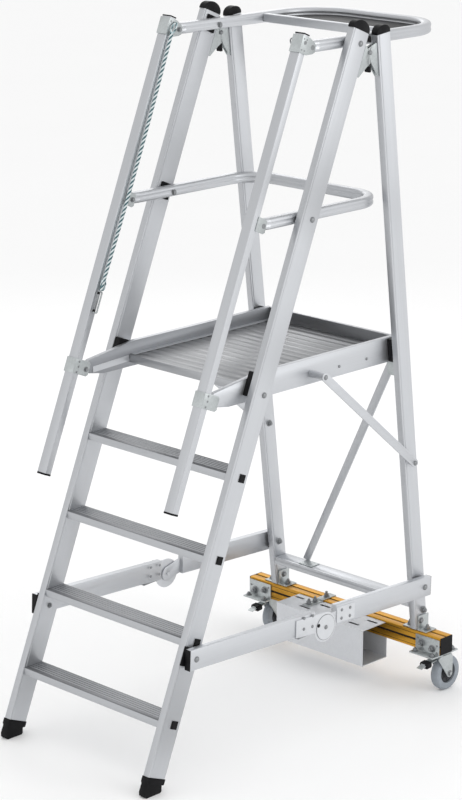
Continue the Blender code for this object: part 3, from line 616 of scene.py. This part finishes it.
def barrier_rope():
    """Four-strand laid rope in white and teal, from the top bracket to the snap hook."""
    route = rope_route()
    fine = smooth_route(route, 190)
    axis = (route[-1] - route[0]).normalized()
    u, v = basis(axis)
    lot = Lot()
    strands, lay = 4, 0.036
    strand_radius = ROPE_RADIUS * 0.46
    offset = ROPE_RADIUS - strand_radius
    length = route_length(fine)
    for strand in range(strands):
        path = []
        for k, point in enumerate(fine):
            a = 2 * pi * (length * k / 190 / lay + strand / strands)
            path.append(point + (u * cos(a) + v * sin(a)) * offset)
        lot.slot = (0, 1, 0, 1)[strand]
        lot.tube(path, strand_radius, 7)
    rope = lot.make("barrier_rope", [ROPE_WHITE, ROPE_TEAL, ROPE_PALE], "post_left", 60)
    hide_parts("safety_rope")
    eye = rope_eye("rope_eye", post_point(2.190), 1.0)
    splice = rope_eye("rope_splice", post_point(1.455), -1.0)
    snap_hook()


def rope_eye(name, start, way):
    """Spliced loop at an end of the rope, above its start point or, if way is -1, below it."""
    lot = Lot()
    path = []
    for a in angles(24, closed=True):
        along = 0.004 + 0.017 * (1 - cos(a))
        side = 0.0075 * sin(a)
        point = start + STILE_UP * way * along + STILE_BACK * (side + 0.0055 * (1 - cos(a)) / 2)
        path.append(at(ROPE_X + 0.0012 * sin(a), point))
    for strand in range(3):
        twist = []
        for k, point in enumerate(path):
            a = 2 * pi * (k / 7 + strand / 3)
            twist.append(point + Vector((cos(a), sin(a) * 0.5, sin(a) * 0.5)) * 0.0017)
        lot.slot = strand
        lot.tube(twist, 0.0021, 7)
    return lot.make(name, [ROPE_WHITE, ROPE_TEAL, ROPE_PALE], "post_left", 60)


def snap_hook():
    """Square-cornered wire loop with a spring gate on its front side."""
    middle = at(ROPE_X, post_point(1.417) - STILE_UP * 0.0375)
    half_length, half_width, bend = 0.0340, 0.0072, 0.0040
    path = []
    for quarter, (s, t) in enumerate(((1, 1), (-1, 1), (-1, -1), (1, -1))):
        for k in range(5):
            a = radians(90.0 * quarter + 22.5 * k)
            path.append(middle + STILE_UP * (s * (half_length - bend) + bend * cos(a))
                        + STILE_BACK * (t * (half_width - bend) + bend * sin(a)))
    lot = Lot()
    lot.tube(path + path[:1], 0.0026, 10)
    gate = middle - STILE_BACK * half_width
    lot.slot = 1
    lot.slab(gate, (0.052, 0.0066, 0.0058), STILE_UP, STILE_BACK, 0.0012)
    lot.slot = 2
    for s in (-0.0285, 0.0285):
        lot.slab(gate + STILE_UP * s, (0.0080, 0.0082, 0.0066), STILE_UP, STILE_BACK, 0.0012)
    hook = lot.make("rope_snap_hook", [ZINC, BOLT_STEEL, BLACK], "post_left", 60)
    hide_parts("snap_hook")
    return hook


# ---- guard rails
RAIL_HALF_HEIGHT = (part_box("top_guard_rail")[1].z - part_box("top_guard_rail")[0].z) / 2
RAIL_HALF_WIDTH = 0.0165


def rail_ring(half_width, groove):
    """Oval section with a shallow groove on each flank: (side, up) points."""
    r = 0.0095
    points = []
    for sign in (1, -1):
        points += [(sign * (half_width - groove), -sign * 0.0035),
                   (sign * (half_width - groove), sign * 0.0035),
                   (sign * half_width, sign * 0.0060)]
        for quarter, steps in ((sign, range(1, 7)), (-sign, range(6, 0, -1))):
            for k in steps:
                a = pi / 2 * k / 6
                points.append((quarter * (half_width - r + r * cos(a)),
                               sign * (RAIL_HALF_HEIGHT - r + r * sin(a))))
        points.append((-sign * half_width, sign * 0.0060))
    return points


def bent_rail(name, node_name, corner, body):
    """Guard rail bent from one tube, its ends pressed flat for the post brackets."""
    low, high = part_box(node_name)
    z = (low.z + high.z) / 2
    arm = high.x - RAIL_HALF_WIDTH
    reach = high.y - RAIL_HALF_WIDTH
    r = corner - RAIL_HALF_WIDTH
    stations = [(low.y, 90.0, 0.0115), (low.y + 0.030, 90.0, 0.0115),
                (low.y + 0.036, 90.0, 0.0135), (low.y + 0.042, 90.0, 0.0160),
                (low.y + 0.048, 90.0, RAIL_HALF_WIDTH)]
    path = [(arm, y, heading, half) for y, heading, half in stations]
    for k in range(25):
        a = 90.0 * k / 24
        path.append((arm - r + r * cos(radians(a)),
                     reach - r + r * sin(radians(a)), 90.0 + a, RAIL_HALF_WIDTH))
    path += [(-x, y, 360.0 - heading, half) for x, y, heading, half in reversed(path)]
    rings = []
    for x, y, heading, half in path:
        a = radians(heading - 90.0)
        rings.append([Vector((x + s * cos(a), y + s * sin(a), z + up))
                      for s, up in rail_ring(half, 0.0013)])
    lot = Lot()
    lot.ring_stack(rings)
    rail = lot.make(name, ALU_RAIL, body, 30)
    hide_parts(node_name)


# ---- trim on the front frame
def tread_plugs(side, sign):
    """Square black plugs on the outside of a stile, one for each tread."""
    lot = Lot()
    for k in range(4):
        centre = stile_point(0.2083 + 0.24 * k, 0.0, 0.0132)
        for out, wide, thick, chamfer in ((0.0010, 0.026, 0.0018, 0.0012),
                                          (0.0021, 0.017, 0.0010, 0.0005)):
            lot.slab(at(sign * (STILE_OUTER + out), centre), (wide, wide, thick),
                     STILE_BACK, STILE_UP, chamfer)
    lot.make("tread_plugs_" + side, BLACK, "front_frame")


def stile_bolts(side, sign):
    """Pivot bolts through the stiles and the black pads between the arms and the stiles."""
    bolts, pads = Lot(), Lot()
    for place in (DECK_PIVOT, KNEE_PIVOT, TOP_PIVOT):
        bolts.round_head(at(sign * (STILE_OUTER + GAP), place), (sign, 0, 0), 0.0095)
    for place in (KNEE_PIVOT, TOP_PIVOT):
        bolts.bolt(at(sign * (ARM_X - RAIL_HALF_WIDTH), place), (-sign, 0, 0), 0.0070)
        rail_pad = 0.0045
        pads.slab(at(sign * (STILE_INNER - GAP - rail_pad / 2), place - STILE_BACK * 0.006),
                  (0.046, 0.052, rail_pad), STILE_BACK, STILE_UP, 0.0015)
    thick = STILE_INNER - BOARD_OUTER - 2 * GAP
    centre = DECK_PIVOT - STILE_BACK * (BOLT_SETBACK + 0.008) + STILE_UP * 0.022
    pads.slab(at(sign * (BOARD_OUTER + GAP + thick / 2), centre), (0.052, 0.078, thick),
              STILE_BACK, STILE_UP, 0.0020)
    bolts.make("pivot_bolts_" + side, BOLT_STEEL, "front_frame")
    pads.make("pivot_pads_" + side, BLACK, "front_frame")
    stay = pivot("stay_front_fold_" + side)
    nut = Lot()
    nut.bolt(at(sign * (STILE_INNER - GAP), stay), (-sign, 0, 0), 0.0065, None, 0.004)
    nut.make("stay_nut_" + side, BOLT_STEEL, "front_frame")


def cap_profile(base, half, rise, x_low, x_high):
    """Rings for a rounded end cap; base maps (along, back) to a point."""
    rings = []
    for shift, shrink in ((x_low, 0.0016), (x_low + 0.0012, 0.0), (x_high - 0.0012, 0.0),
                          (x_high, 0.0016)):
        ring = [base(GAP, half - shrink), base(0.004, half - shrink)]
        for k in range(1, 24):
            a = pi * k / 24
            ring.append(base(0.004 + (rise - 0.004 - shrink) * sin(a),
                             (half - shrink) * cos(a)))
        ring += [base(0.004, -half + shrink), base(GAP, -half + shrink)]
        rings.append([at(shift, p) for p in ring])
    return rings


def stile_caps(side, sign):
    """Smooth rounded black caps on the stiles and the rear legs."""
    stile_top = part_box("front_stile_" + side)[1]
    z = stile_top.z - STILE_HALF * abs(STILE_BACK.z)
    x0, x1 = sorted((sign * (STILE_INNER - 0.0004), sign * (STILE_OUTER + 0.0004)))
    front = Lot()
    front.ring_stack(cap_profile(lambda s, t: stile_point(z, s, t), STILE_HALF + 0.001,
                                 0.0317, x0, x1))
    cap = front.make("stile_cap_" + side, BLACK, "front_frame", 40)
    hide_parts("front_cap_" + side)
    rear = Lot()
    rear.ring_stack(cap_profile(lambda s, t: LEG_TOP + LEG_UP * s + LEG_BACK * t,
                                LEG_HALF + 0.0006, 0.0265, x0, x1))
    rear.make("leg_cap_" + side, BLACK, "rear_frame", 40)


def hinge_trim(side, sign):
    """Pin heads, black buffer, cord and catch of the top hinge."""
    steel, black = Lot(), Lot()
    outer = STILE_OUTER + 0.0022
    steel.round_head(at(sign * outer, HINGE), (sign, 0, 0), 0.0075)
    steel.round_head(at(sign * (STILE_INNER - 0.0012), HINGE), (-sign, 0, 0), 0.0075)
    steel.make("hinge_pin_heads_" + side, BOLT_STEEL, "front_frame")
    centre = HINGE + Vector((0, 0.004, 0.040))
    black.slab(at(sign * 0.320, centre), (0.020, 0.018, 0.022), STILE_BACK, STILE_UP, 0.003)
    black.make("hinge_buffer_" + side, BLACK, "front_frame")
    block("hinge_latch_" + side, BLACK, "rear_frame",
          at(sign * 0.320, HINGE + Vector((0, 0.004, -0.042))), (0.011, 0.041, 0.0212), Y,
          (0, -0.10, 1), 0.002)
    cord = Lot()
    path = []
    for k in range(13):
        f = k / 12
        path.append(Vector((sign * (0.3335 + 0.002 * sin(pi * f)),
                            HINGE.y + 0.006 * sin(2 * pi * f) - 0.004 * f,
                            HINGE.z + 0.058 - 0.100 * f)))
    cord.tube(path, 0.0009, 6)
    cord.make("hinge_lanyard_" + side, BOLT_STEEL, "front_frame")


# ---- trim on the rear frame
def beam_trim(side, sign):
    """Bolts of the caster and leg brackets, and the beam's end cap."""
    low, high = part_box("caster_beam")
    bolts = Lot()
    y = (low.y + high.y) / 2
    for x, z in ((0.362, 0.168), (0.408, 0.158)):
        bolts.bolt(Vector((sign * x, low.y - 0.0048, z)), (0, -1, 0), 0.0095, 0.011, 0.006)
        bolts.bolt(Vector((sign * x, high.y + 0.0048, z)), Y, 0.0095, 0.009)
    for x, z in ((0.345, 0.180), (0.428, 0.172), (0.428, 0.1475)):
        bolts.round_head(Vector((sign * x, low.y - 0.0045, z)), (0, -1, 0), 0.0035)
    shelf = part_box("caster_bracket_" + side)[0].z + 0.0052
    for x in (0.348, 0.423):
        for away in (low.y - 0.023, high.y + 0.021):
            bolts.bolt(Vector((sign * x, away, shelf)), Z, 0.0078, 0.008, 0.004)
    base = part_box("leg_bracket_" + side)
    for x in (0.357, 0.282):
        bolts.bolt(Vector((sign * x, y, base[0].z + 0.0041)), Z, 0.0095, 0.010, 0.007)
    wall = base[1].z - 0.016
    bolts.bolt(Vector((sign * 0.3370, y - 0.012, wall)), (sign, 0, 0), 0.0080, 0.007)
    bolts.bolt(Vector((sign * (STILE_OUTER + GAP), y + 0.004, base[1].z + 0.016)), (sign, 0, 0),
               0.0090, 0.010, 0.004)
    bolts.bolt(Vector((sign * 0.3030, y, wall)), (-sign, 0, 0), 0.0080, 0.008)
    bolts.make("beam_bolts_" + side, BOLT_STEEL, "rear_frame")
    size = high.z - low.z
    block("beam_cap_" + side, BLACK, "rear_frame",
          Vector((sign * (high.x - 0.0014), y, (low.z + high.z) / 2)), (size, size, 0.0028), Y, Z,
          0.0010)


def bare_beam():
    """The beam without the 3 mm of its length that the end caps take."""
    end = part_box("caster_beam")[1].x - 0.0030
    mesh = NODES["caster_beam"].data.copy()
    for vertex in mesh.vertices:
        vertex.co.x = max(-end, min(end, vertex.co.x))
    beam = new_object("gold_beam", mesh)
    wear(beam, GOLD)
    edge_finish(beam)
    stand_in(beam, "caster_beam")


def beam_slots():
    """Painted shade: dark strips in the beam's slots and thin dark lines along its front face."""
    low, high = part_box("caster_beam")
    y, z = (low.y + high.y) / 2, (low.z + high.z) / 2
    length = high.x - low.x - 0.0068
    lot = Lot()
    lot.slab((0, low.y + 0.0042, z), (length, 0.0074, 0.003), X, Z, 0.0004)
    lot.slab((0, high.y - 0.0042, z), (length, 0.0074, 0.003), X, Z, 0.0004)
    lot.slab((0, y, high.z - 0.0042), (length, 0.003, 0.0074), X, Z, 0.0004)
    lot.make("beam_slot_shade_strips", SLOT_SHADE, "rear_frame")
    line = Lot()
    for height in (high.z - 0.010, low.z + 0.010):
        line.slab((0, low.y, height), (length, 0.0016, 0.0005), X, Z, 0.0001)
    line.make("beam_edge_lines", SLOT_SHADE, "rear_frame")


def box_trim():
    """Bolts under the ballast box and on its strap, and a black sheet below the slots that paints
    the shade seen through them.
    """
    low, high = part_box("ballast_box")
    bolts = Lot()
    for x in (low.x + 0.012, high.x - 0.012):
        for y in (low.y + 0.012, high.y - 0.012):
            bolts.bolt(Vector((x, y, low.z - 0.0001)), (0, 0, -1), 0.0060)
    strap_low, strap_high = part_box("box_strap")
    x = (strap_low.x + strap_high.x) / 2
    lug = high.z + 0.0034
    for y, z in ((0.487, lug), (0.519, lug), (0.577, strap_high.z + 0.0001)):
        bolts.bolt(Vector((x, y, z)), Z, 0.0085, 0.011, 0.008)
    bolts.make("box_bolts", BOLT_STEEL, "rear_frame")
    # painted shade: a black sheet under the slots where only shade would show
    block("box_slot_shade", BLACK, "rear_frame",
          ((low.x + high.x) / 2, low.y + 0.060, high.z - 0.0042), (0.385, 0.100, 0.0008), X, Y,
          0.0002)


def slotted_box():
    """The ballast box with the adjusting slots cut through its top plate."""
    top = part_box("ballast_box")[1].z
    mesh = NODES["ballast_box"].data.copy()
    box = new_object("slotted_ballast_box", mesh)
    cutter = Lot()
    half_straight, radius = 0.018, 0.0058
    for x, y in ((-0.173, 0.518), (-0.052, 0.518), (0.052, 0.518), (0.163, 0.518),
                 (-0.096, 0.462), (0.130, 0.462)):
        cutter.ring_stack([[Vector((x + copysign(half_straight, cos(a)) + radius * cos(a),
                                    y + radius * sin(a), z)) for a in angles(24)]
                           for z in (top - 0.010, top + 0.010)])
    cut_mesh = new_mesh("slot_cutter", cutter.verts, cutter.faces)
    recalculate(cut_mesh)
    tool = new_object("slot_cutter", cut_mesh)
    weld_points(box)
    cut = box.modifiers.new("slots", "BOOLEAN")
    cut.solver = "EXACT"
    cut.object = tool
    depsgraph = bpy.context.evaluated_depsgraph_get()
    final = bpy.data.meshes.new_from_object(box.evaluated_get(depsgraph))
    box.modifiers.clear()
    box.data = final
    bpy.data.objects.remove(tool)
    wear(box, SHEET)
    round_edges(box, 0.0005, 50)
    box.data.set_sharp_from_angle(angle=radians(35))
    stand_in(box, "ballast_box")


def brace_trim():
    """Bolts at both ends of the diagonal brace and the plate below its foot."""
    bolts = Lot()
    low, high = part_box("brace_bracket")
    z = (low.z + high.z) / 2
    start = leg_point(z, 0.0, 0.022 + 0.005)
    bolts.bolt(Vector((0.247, start.y, z)), LEG_BACK, 0.0060)
    bolts.round_head(Vector((0.290, leg_point(z, 0, 0.0175).y, z)), -LEG_BACK, 0.0060)
    foot = leg_point(0.330, 0.0, 0.022 + 0.005)
    bolts.bolt(Vector((-0.191, foot.y, 0.330)), LEG_BACK, 0.0060)
    bolts.make("brace_bolts", BOLT_STEEL, "rear_frame")
    low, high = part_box("rear_crossbar")
    block("crossbar_plate", ZINC, "rear_frame", (-0.172, low.y + 0.030, high.z + 0.0017),
          (0.060, 0.044, 0.003), X, Y, 0.0008)


# ---- casters
SWIVEL_TOP = 0.1297                                    # underside of the caster bracket's plate


def caster_trim(side):
    """Rounded tyre, ribbed hub, axle bolts and swivel race of one caster."""
    centre = pivot("caster_roll_" + side)
    swivel = pivot("caster_swivel_" + side)
    r, w = centre.z, 0.015
    tyre = Lot()
    profile = [(-w + 0.001, 0.036), (-w, 0.040), (-w, r - 0.008)]
    for k in range(0, 13):
        a = pi * (k / 12) - pi / 2
        profile.append((w * sin(a), r - 0.008 + 0.008 * abs(cos(a)) ** 0.6))
    profile += [(w, 0.040), (w - 0.001, 0.036)]
    turned_ring(tyre, profile, centre, 64)
    wheel = tyre.make("caster_tyre_" + side, TYRE, "caster_wheel_" + side, 50)
    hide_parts("caster_wheel_" + side)
    hub = Lot()
    turned_ring(hub, [(-0.0075, 0.0362), (-0.0075, 0.020), (-0.0145, 0.0165), (-0.0150, 0.0062),
                      (0.0150, 0.0062), (0.0145, 0.0165), (0.0075, 0.020), (0.0075, 0.0362)],
                centre, 48)
    for a in angles(8):
        direction = Vector((0, cos(a), sin(a)))
        spot = centre + direction * 0.027
        for face in (-1, 1):
            hub.slab(spot + Vector((face * 0.0078, 0, 0)), (0.015, 0.0026, 0.0030), direction,
                     (0, -sin(a), cos(a)), 0.0006)
    hub.make("caster_hub_" + side, HUB, "caster_wheel_" + side, 40)
    steel = Lot()
    for face in (-1, 1):
        steel.bolt(centre + Vector((face * (0.0216 + GAP), 0, 0)), (face, 0, 0), 0.0075, 0.0052)
    steel.turned([(0.0, 0.016), (0.0022, 0.0175), (0.0038, 0.0175), (0.0048, 0.015)],
                 Vector((swivel.x, swivel.y, SWIVEL_TOP - 0.0053)), Z, 40)
    steel.make("caster_bolts_" + side, BOLT_STEEL, "caster_fork_" + side)
    race = Lot()
    turned_ring(race, [(0.0006, 0.0195), (0.0006, 0.027), (0.0030, 0.027), (0.0034, 0.0195)],
                Vector((swivel.x, swivel.y, SWIVEL_TOP)), 48, upright=True)
    race.make("swivel_race_" + side, ZINC, "caster_fork_" + side)
    brake_lever(side, centre.x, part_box("brake_pedal_" + side)[1].y)


def brake_lever(side, x, y):
    """Bent steel lever with a black foot pad, in place of the plain pedal."""
    lever = Lot()
    lever.slab((x, y - 0.023, 0.1185), (0.046, 0.0025, 0.030), (0, 1, 0.10), (0, -0.10, 1), 0.0008)
    lever.slab((x, y - 0.0585, 0.1118), (0.0325, 0.0022, 0.024), (0, 1, 0.30), (0, -0.30, 1),
               0.0008)
    lever.slab((x, y - 0.0540, 0.1125), (0.0012, 0.012, 0.016), Y, Z, 0.0003)
    shape = lever.make("brake_lever_" + side, ZINC, "brake_pedal_" + side)
    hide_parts("brake_pedal_" + side)
    block("brake_foot_pad_" + side, BLACK, "brake_pedal_" + side, (x, y - 0.0400, 0.1127),
          (0.027, 0.0195, 0.034), (0, 1, 0.10), (0, -0.10, 1), 0.0030)


def turned_ring(lot, profile, centre, segments, upright=False):
    """Turn a closed (height, radius) profile about an X axis, or a Z axis if upright."""
    count = len(profile)
    verts = []
    for a in angles(segments):
        for h, r in profile:
            spot = (r * cos(a), r * sin(a))
            verts.append(centre + Vector((*spot, h) if upright else (h, *spot)))
    faces = []
    for k in range(segments):
        m = (k + 1) % segments
        for i in range(count):
            j = (i + 1) % count
            faces.append((k * count + i, k * count + j, m * count + j, m * count + i))
    lot.add(verts, faces)


# ---- platform trim
def platform_trim(side, sign):
    """Rivets on a side board, the strip along the deck's edge and the ledge on the arm."""
    low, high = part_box("platform_rail_" + side)
    lot = Lot()
    for y in (DECK_PIVOT.y + 0.075, 0.20, 0.33, high.y - 0.030):
        lot.round_head(Vector((sign * (BOARD_OUTER + GAP), y, low.z + 0.030)), (sign, 0, 0),
                       0.0050)
    lot.make("platform_rivets_" + side, BOLT_STEEL, "platform")
    deck_low, deck_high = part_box("platform_deck")
    middle = Vector((sign * (BOARD_INNER - 0.0095), (deck_low.y + deck_high.y) / 2,
                     deck_high.z + 0.0012))
    block("deck_edge_strip_" + side, ALU_Y, "platform", middle,
          (deck_high.y - deck_low.y - 0.012, 0.0018, 0.018), Y, Z, 0.0006)
    tip = DECK_PIVOT + ARM_SHIFT
    start = Vector((sign * (BOARD_INNER - 0.0011), tip.y + 0.032, tip.z - 0.0075))
    end = Vector((sign * (BOARD_INNER - 0.0011), deck_low.y - 0.001, deck_high.z - 0.012))
    run = (end - start).normalized()
    block("arm_ledge_" + side, ALU_Y, "platform", (start + end) / 2,
          ((end - start).length, 0.020, 0.0018), run, Vector((0, -run.z, run.y)), 0.0006)


# ---- post trim
def post_trim(side, sign):
    """End caps of a post, and the bolts and rivets of its three brackets."""
    body = "post_" + side
    low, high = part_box("handrail_post_" + side)
    half_depth = 0.0135
    top_z = high.z - half_depth * abs(STILE_BACK.z)
    bottom_z = low.z + half_depth * abs(STILE_BACK.z)
    caps = Lot()
    for z, way, thick in ((top_z, 1.0, 0.0040), (bottom_z, -1.0, 0.0060)):
        centre = post_point(z) + STILE_UP * way * (thick / 2 + 0.0001)
        caps.slab(at(sign * ARM_X, centre), (2 * half_depth, thick, 2 * POST_HALF_WIDTH),
                  STILE_BACK, STILE_UP, 0.0012)
    caps.make("post_caps_" + side, BLACK, body)
    bolts = Lot()
    face = 0.0213
    top = TOP_PIVOT + ARM_SHIFT - STILE_BACK * POST_AHEAD
    deck = DECK_PIVOT + ARM_SHIFT - STILE_BACK * POST_AHEAD
    bolts.flush_head(at(sign * (ARM_X + face), top + STILE_UP * 0.004), (sign, 0, 0), 0.0062)
    for place in (TOP_PIVOT, KNEE_PIVOT):
        bolts.flush_head(at(sign * (ARM_X + face), place + ARM_SHIFT), (sign, 0, 0), 0.0080)
    for place in (TOP_PIVOT, KNEE_PIVOT, DECK_PIVOT):
        bolts.bolt(at(sign * (ARM_X - face - 0.0002), place + ARM_SHIFT), (-sign, 0, 0), 0.0062,
                   0.006)
    for way, head in ((1.0, bolts.flush_head), (-1.0, bolts.round_head)):
        x = sign * (ARM_X + way * face)
        for along, back in ((-0.020, 0.004), (-0.020, -0.008), (0.014, 0.004), (0.014, -0.008)):
            head(at(x, top + STILE_UP * along + STILE_BACK * back), (sign * way, 0, 0), 0.0024)
        for along, back in ((-0.016, 0.0), (0.018, 0.0), (0.002, 0.002)):
            head(at(x, deck + STILE_UP * along + STILE_BACK * back), (sign * way, 0, 0), 0.0036)
    bolts.make("post_bolts_" + side, BOLT_STEEL, body)


def ring_eye():
    """Ring on the right post that the rope's hook clips to."""
    spot = TOP_PIVOT + ARM_SHIFT - STILE_BACK * (POST_AHEAD - 0.001)
    centre = at(ARM_X - 0.0216, spot) + Vector((-0.0090, 0, 0.004))
    lot = Lot()
    lot.tube([centre + Vector((cos(a), 0, sin(a))) * 0.0095 for a in angles(24, closed=True)],
             0.0022, 10)
    lot.make("ring_eye", BOLT_STEEL, "post_right", 60)


# ---- struts and stays
def strut_trim(side, sign):
    """Bolts of a platform strut, nuts inside the leg and the pad behind the side board."""
    lot = Lot()
    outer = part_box("platform_strut_right")[1].x
    top = pivot("strut_fold_" + side)
    foot = leg_point(0.800)
    for spot in (top, foot):
        lot.round_head(at(sign * (outer - 0.0002), spot), (sign, 0, 0), 0.0085)
    lot.make("strut_bolts_" + side, BOLT_STEEL, "strut_" + side)
    nuts = Lot()
    for spot in (foot, leg_point(STAY_REAR_Z)):
        nuts.bolt(at(sign * (STILE_INNER - 0.0002), spot), (-sign, 0, 0), 0.0085, 0.009, 0.004)
    nuts.make("leg_nuts_" + side, BOLT_STEEL, "rear_frame")
    thick = STILE_INNER - BOARD_OUTER - 2 * GAP
    block("leg_pad_" + side, BLACK, "rear_frame",
          at(sign * (BOARD_OUTER + GAP + thick / 2), leg_point(1.186, 0.0, -0.012)),
          (0.030, 0.078, thick), LEG_BACK, LEG_UP, 0.0020)


def stay_trim(side, sign):
    """Bolts, rivets, hinge disc, strap, end caps and spacers of one side stay."""
    front, knee = pivot("stay_front_fold_" + side), pivot("stay_knee_" + side)
    rear = leg_point(STAY_REAR_Z)
    run = Vector((0, rear.y - front.y, rear.z - front.z)).normalized()
    rise = Vector((0, -run.z, run.y))
    knee_at = (knee - front).dot(run)
    total = (rear - front).dot(run)
    plate = max(abs(c.x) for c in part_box("stay_hinge_plate_" + side)) - 0.0027
    way = (sign, 0, 0)

    def along(s, t, x):
        return at(sign * x, front + run * s + rise * t)

    steel = Lot()
    steel.round_head(along(0.0, 0.0, STAY_OUTER + GAP), way, 0.0100)
    for s in (knee_at - 0.102, knee_at - 0.062):
        for t in (-0.010, 0.026):
            steel.round_head(along(s, t, plate), way, 0.0054)
    steel.turned([(0.0, 0.0428), (0.0012, 0.0428), (0.0014, 0.0424)], at(sign * plate, knee),
                 way, 56)
    steel.round_head(at(sign * (plate + 0.0022), knee), way, 0.0075)
    for s in (knee_at - 0.102, knee_at - 0.062):
        for t in (-0.010, 0.022):
            steel.round_head(along(s, t, SPACER_INNER - GAP), (-sign, 0, 0), 0.0046)
    steel.make("stay_front_bolts_" + side, BOLT_STEEL, "stay_front_" + side)
    disc = Lot()
    disc.turned([(0.0, 0.0412), (0.0018, 0.0412), (0.0024, 0.0404)], at(sign * plate, knee),
                way, 56)
    disc.make("stay_disc_" + side, SHEET, "stay_front_" + side)
    lock = Lot()
    lock.turned([(0.0, 0.0065), (0.0006, 0.0065), (0.0009, 0.0058)],
                at(sign * (plate + 0.0020), knee + run * -0.034 + rise * 0.012), way, 20)
    lock.slab(along(-0.0277, 0.0, STAY_MIDDLE), (0.0030, 0.066, 0.022), run, rise, 0.0012)
    lock.make("stay_end_cap_" + side, BLACK, "stay_front_" + side)
    block("stay_stile_pad_" + side, BLACK, "front_frame",
          at(sign * (STILE_OUTER + 0.0029), stile_point(front.z, 0.0, -0.011)),
          (0.052, 0.060, 0.0052), STILE_BACK, STILE_UP, 0.0012)
    back = Lot()
    back.round_head(along(total, 0.0, STAY_OUTER + GAP), way, 0.0100)
    for s in (knee_at + 0.078, knee_at + 0.118):
        for t in (-0.014, 0.014):
            back.round_head(along(s, t, STAY_OUTER + 0.0025), way, 0.0054)
    back.make("stay_rear_bolts_" + side, BOLT_STEEL, "stay_rear_" + side)
    block("stay_strap_" + side, SHEET, "stay_rear_" + side,
          along(knee_at + 0.098, 0.0, STAY_OUTER + 0.0014), (0.086, 0.052, 0.0024), run, rise,
          0.0008)
    spacer = Lot()
    spacer.slab(along(total, 0.0, (STILE_OUTER + STAY_INNER) / 2), (0.046, 0.050, 0.0054),
                run, rise, 0.0010)
    spacer.slab(along(total + 0.0292, 0.0, STAY_MIDDLE), (0.0024, 0.064, 0.021),
                run, rise, 0.0010)
    spacer.make("stay_spacer_" + side, BLACK, "stay_rear_" + side)


# ---- studio
def area_light(name, place, aim, size, power):
    data = bpy.data.lights.new(name, "AREA")
    data.shape = "RECTANGLE"
    data.size, data.size_y = size
    data.energy = power
    light = new_object(name, data)
    light.location = place
    direction = Vector(aim) - Vector(place)
    light.rotation_euler = direction.to_track_quat("-Z", "Y").to_euler()


def studio():
    """Even white surroundings, three soft lights and a pale floor."""
    world = bpy.data.worlds.new("studio")
    bpy.context.scene.world = world
    world.use_nodes = True
    background = world.node_tree.nodes["Background"]
    background.inputs["Color"].default_value = (1.0, 1.0, 1.0, 1.0)
    background.inputs["Strength"].default_value = 0.98
    bpy.context.scene.view_settings.view_transform = "Standard"
    area_light("key", (6.0, 1.8, 3.2), (0, 0, 1.1), (3.0, 3.0), 70.0)
    area_light("front", (-1.5, -5.0, 2.6), (0, 0, 1.0), (3.0, 3.0), 12.0)
    area_light("rim", (-3.5, 3.0, 3.5), (0, 0, 1.2), (2.5, 2.5), 25.0)
    size = 30.0
    mesh = new_mesh("floor", [(-size, -size, 0), (size, -size, 0), (size, size, 0),
                              (-size, size, 0)], [(0, 1, 2, 3)])
    mesh.materials.append(pale_floor())
    new_object("floor", mesh)


add_camera()
barrier_rope()
dress_nodes()
bent_rail("top_rail_tube", "top_guard_rail", 0.180, "top_rail")
bent_rail("knee_rail_tube", "knee_guard_rail", 0.125, "knee_rail")
for _side, _sign in SIDES:
    tread_plugs(_side, _sign)
    stile_bolts(_side, _sign)
    stile_caps(_side, _sign)
    hinge_trim(_side, _sign)
    beam_trim(_side, _sign)
    caster_trim(_side)
    platform_trim(_side, _sign)
    post_trim(_side, _sign)
    strut_trim(_side, _sign)
    stay_trim(_side, _sign)
bare_beam()
beam_slots()
box_trim()
slotted_box()
brace_trim()
ring_eye()
studio()
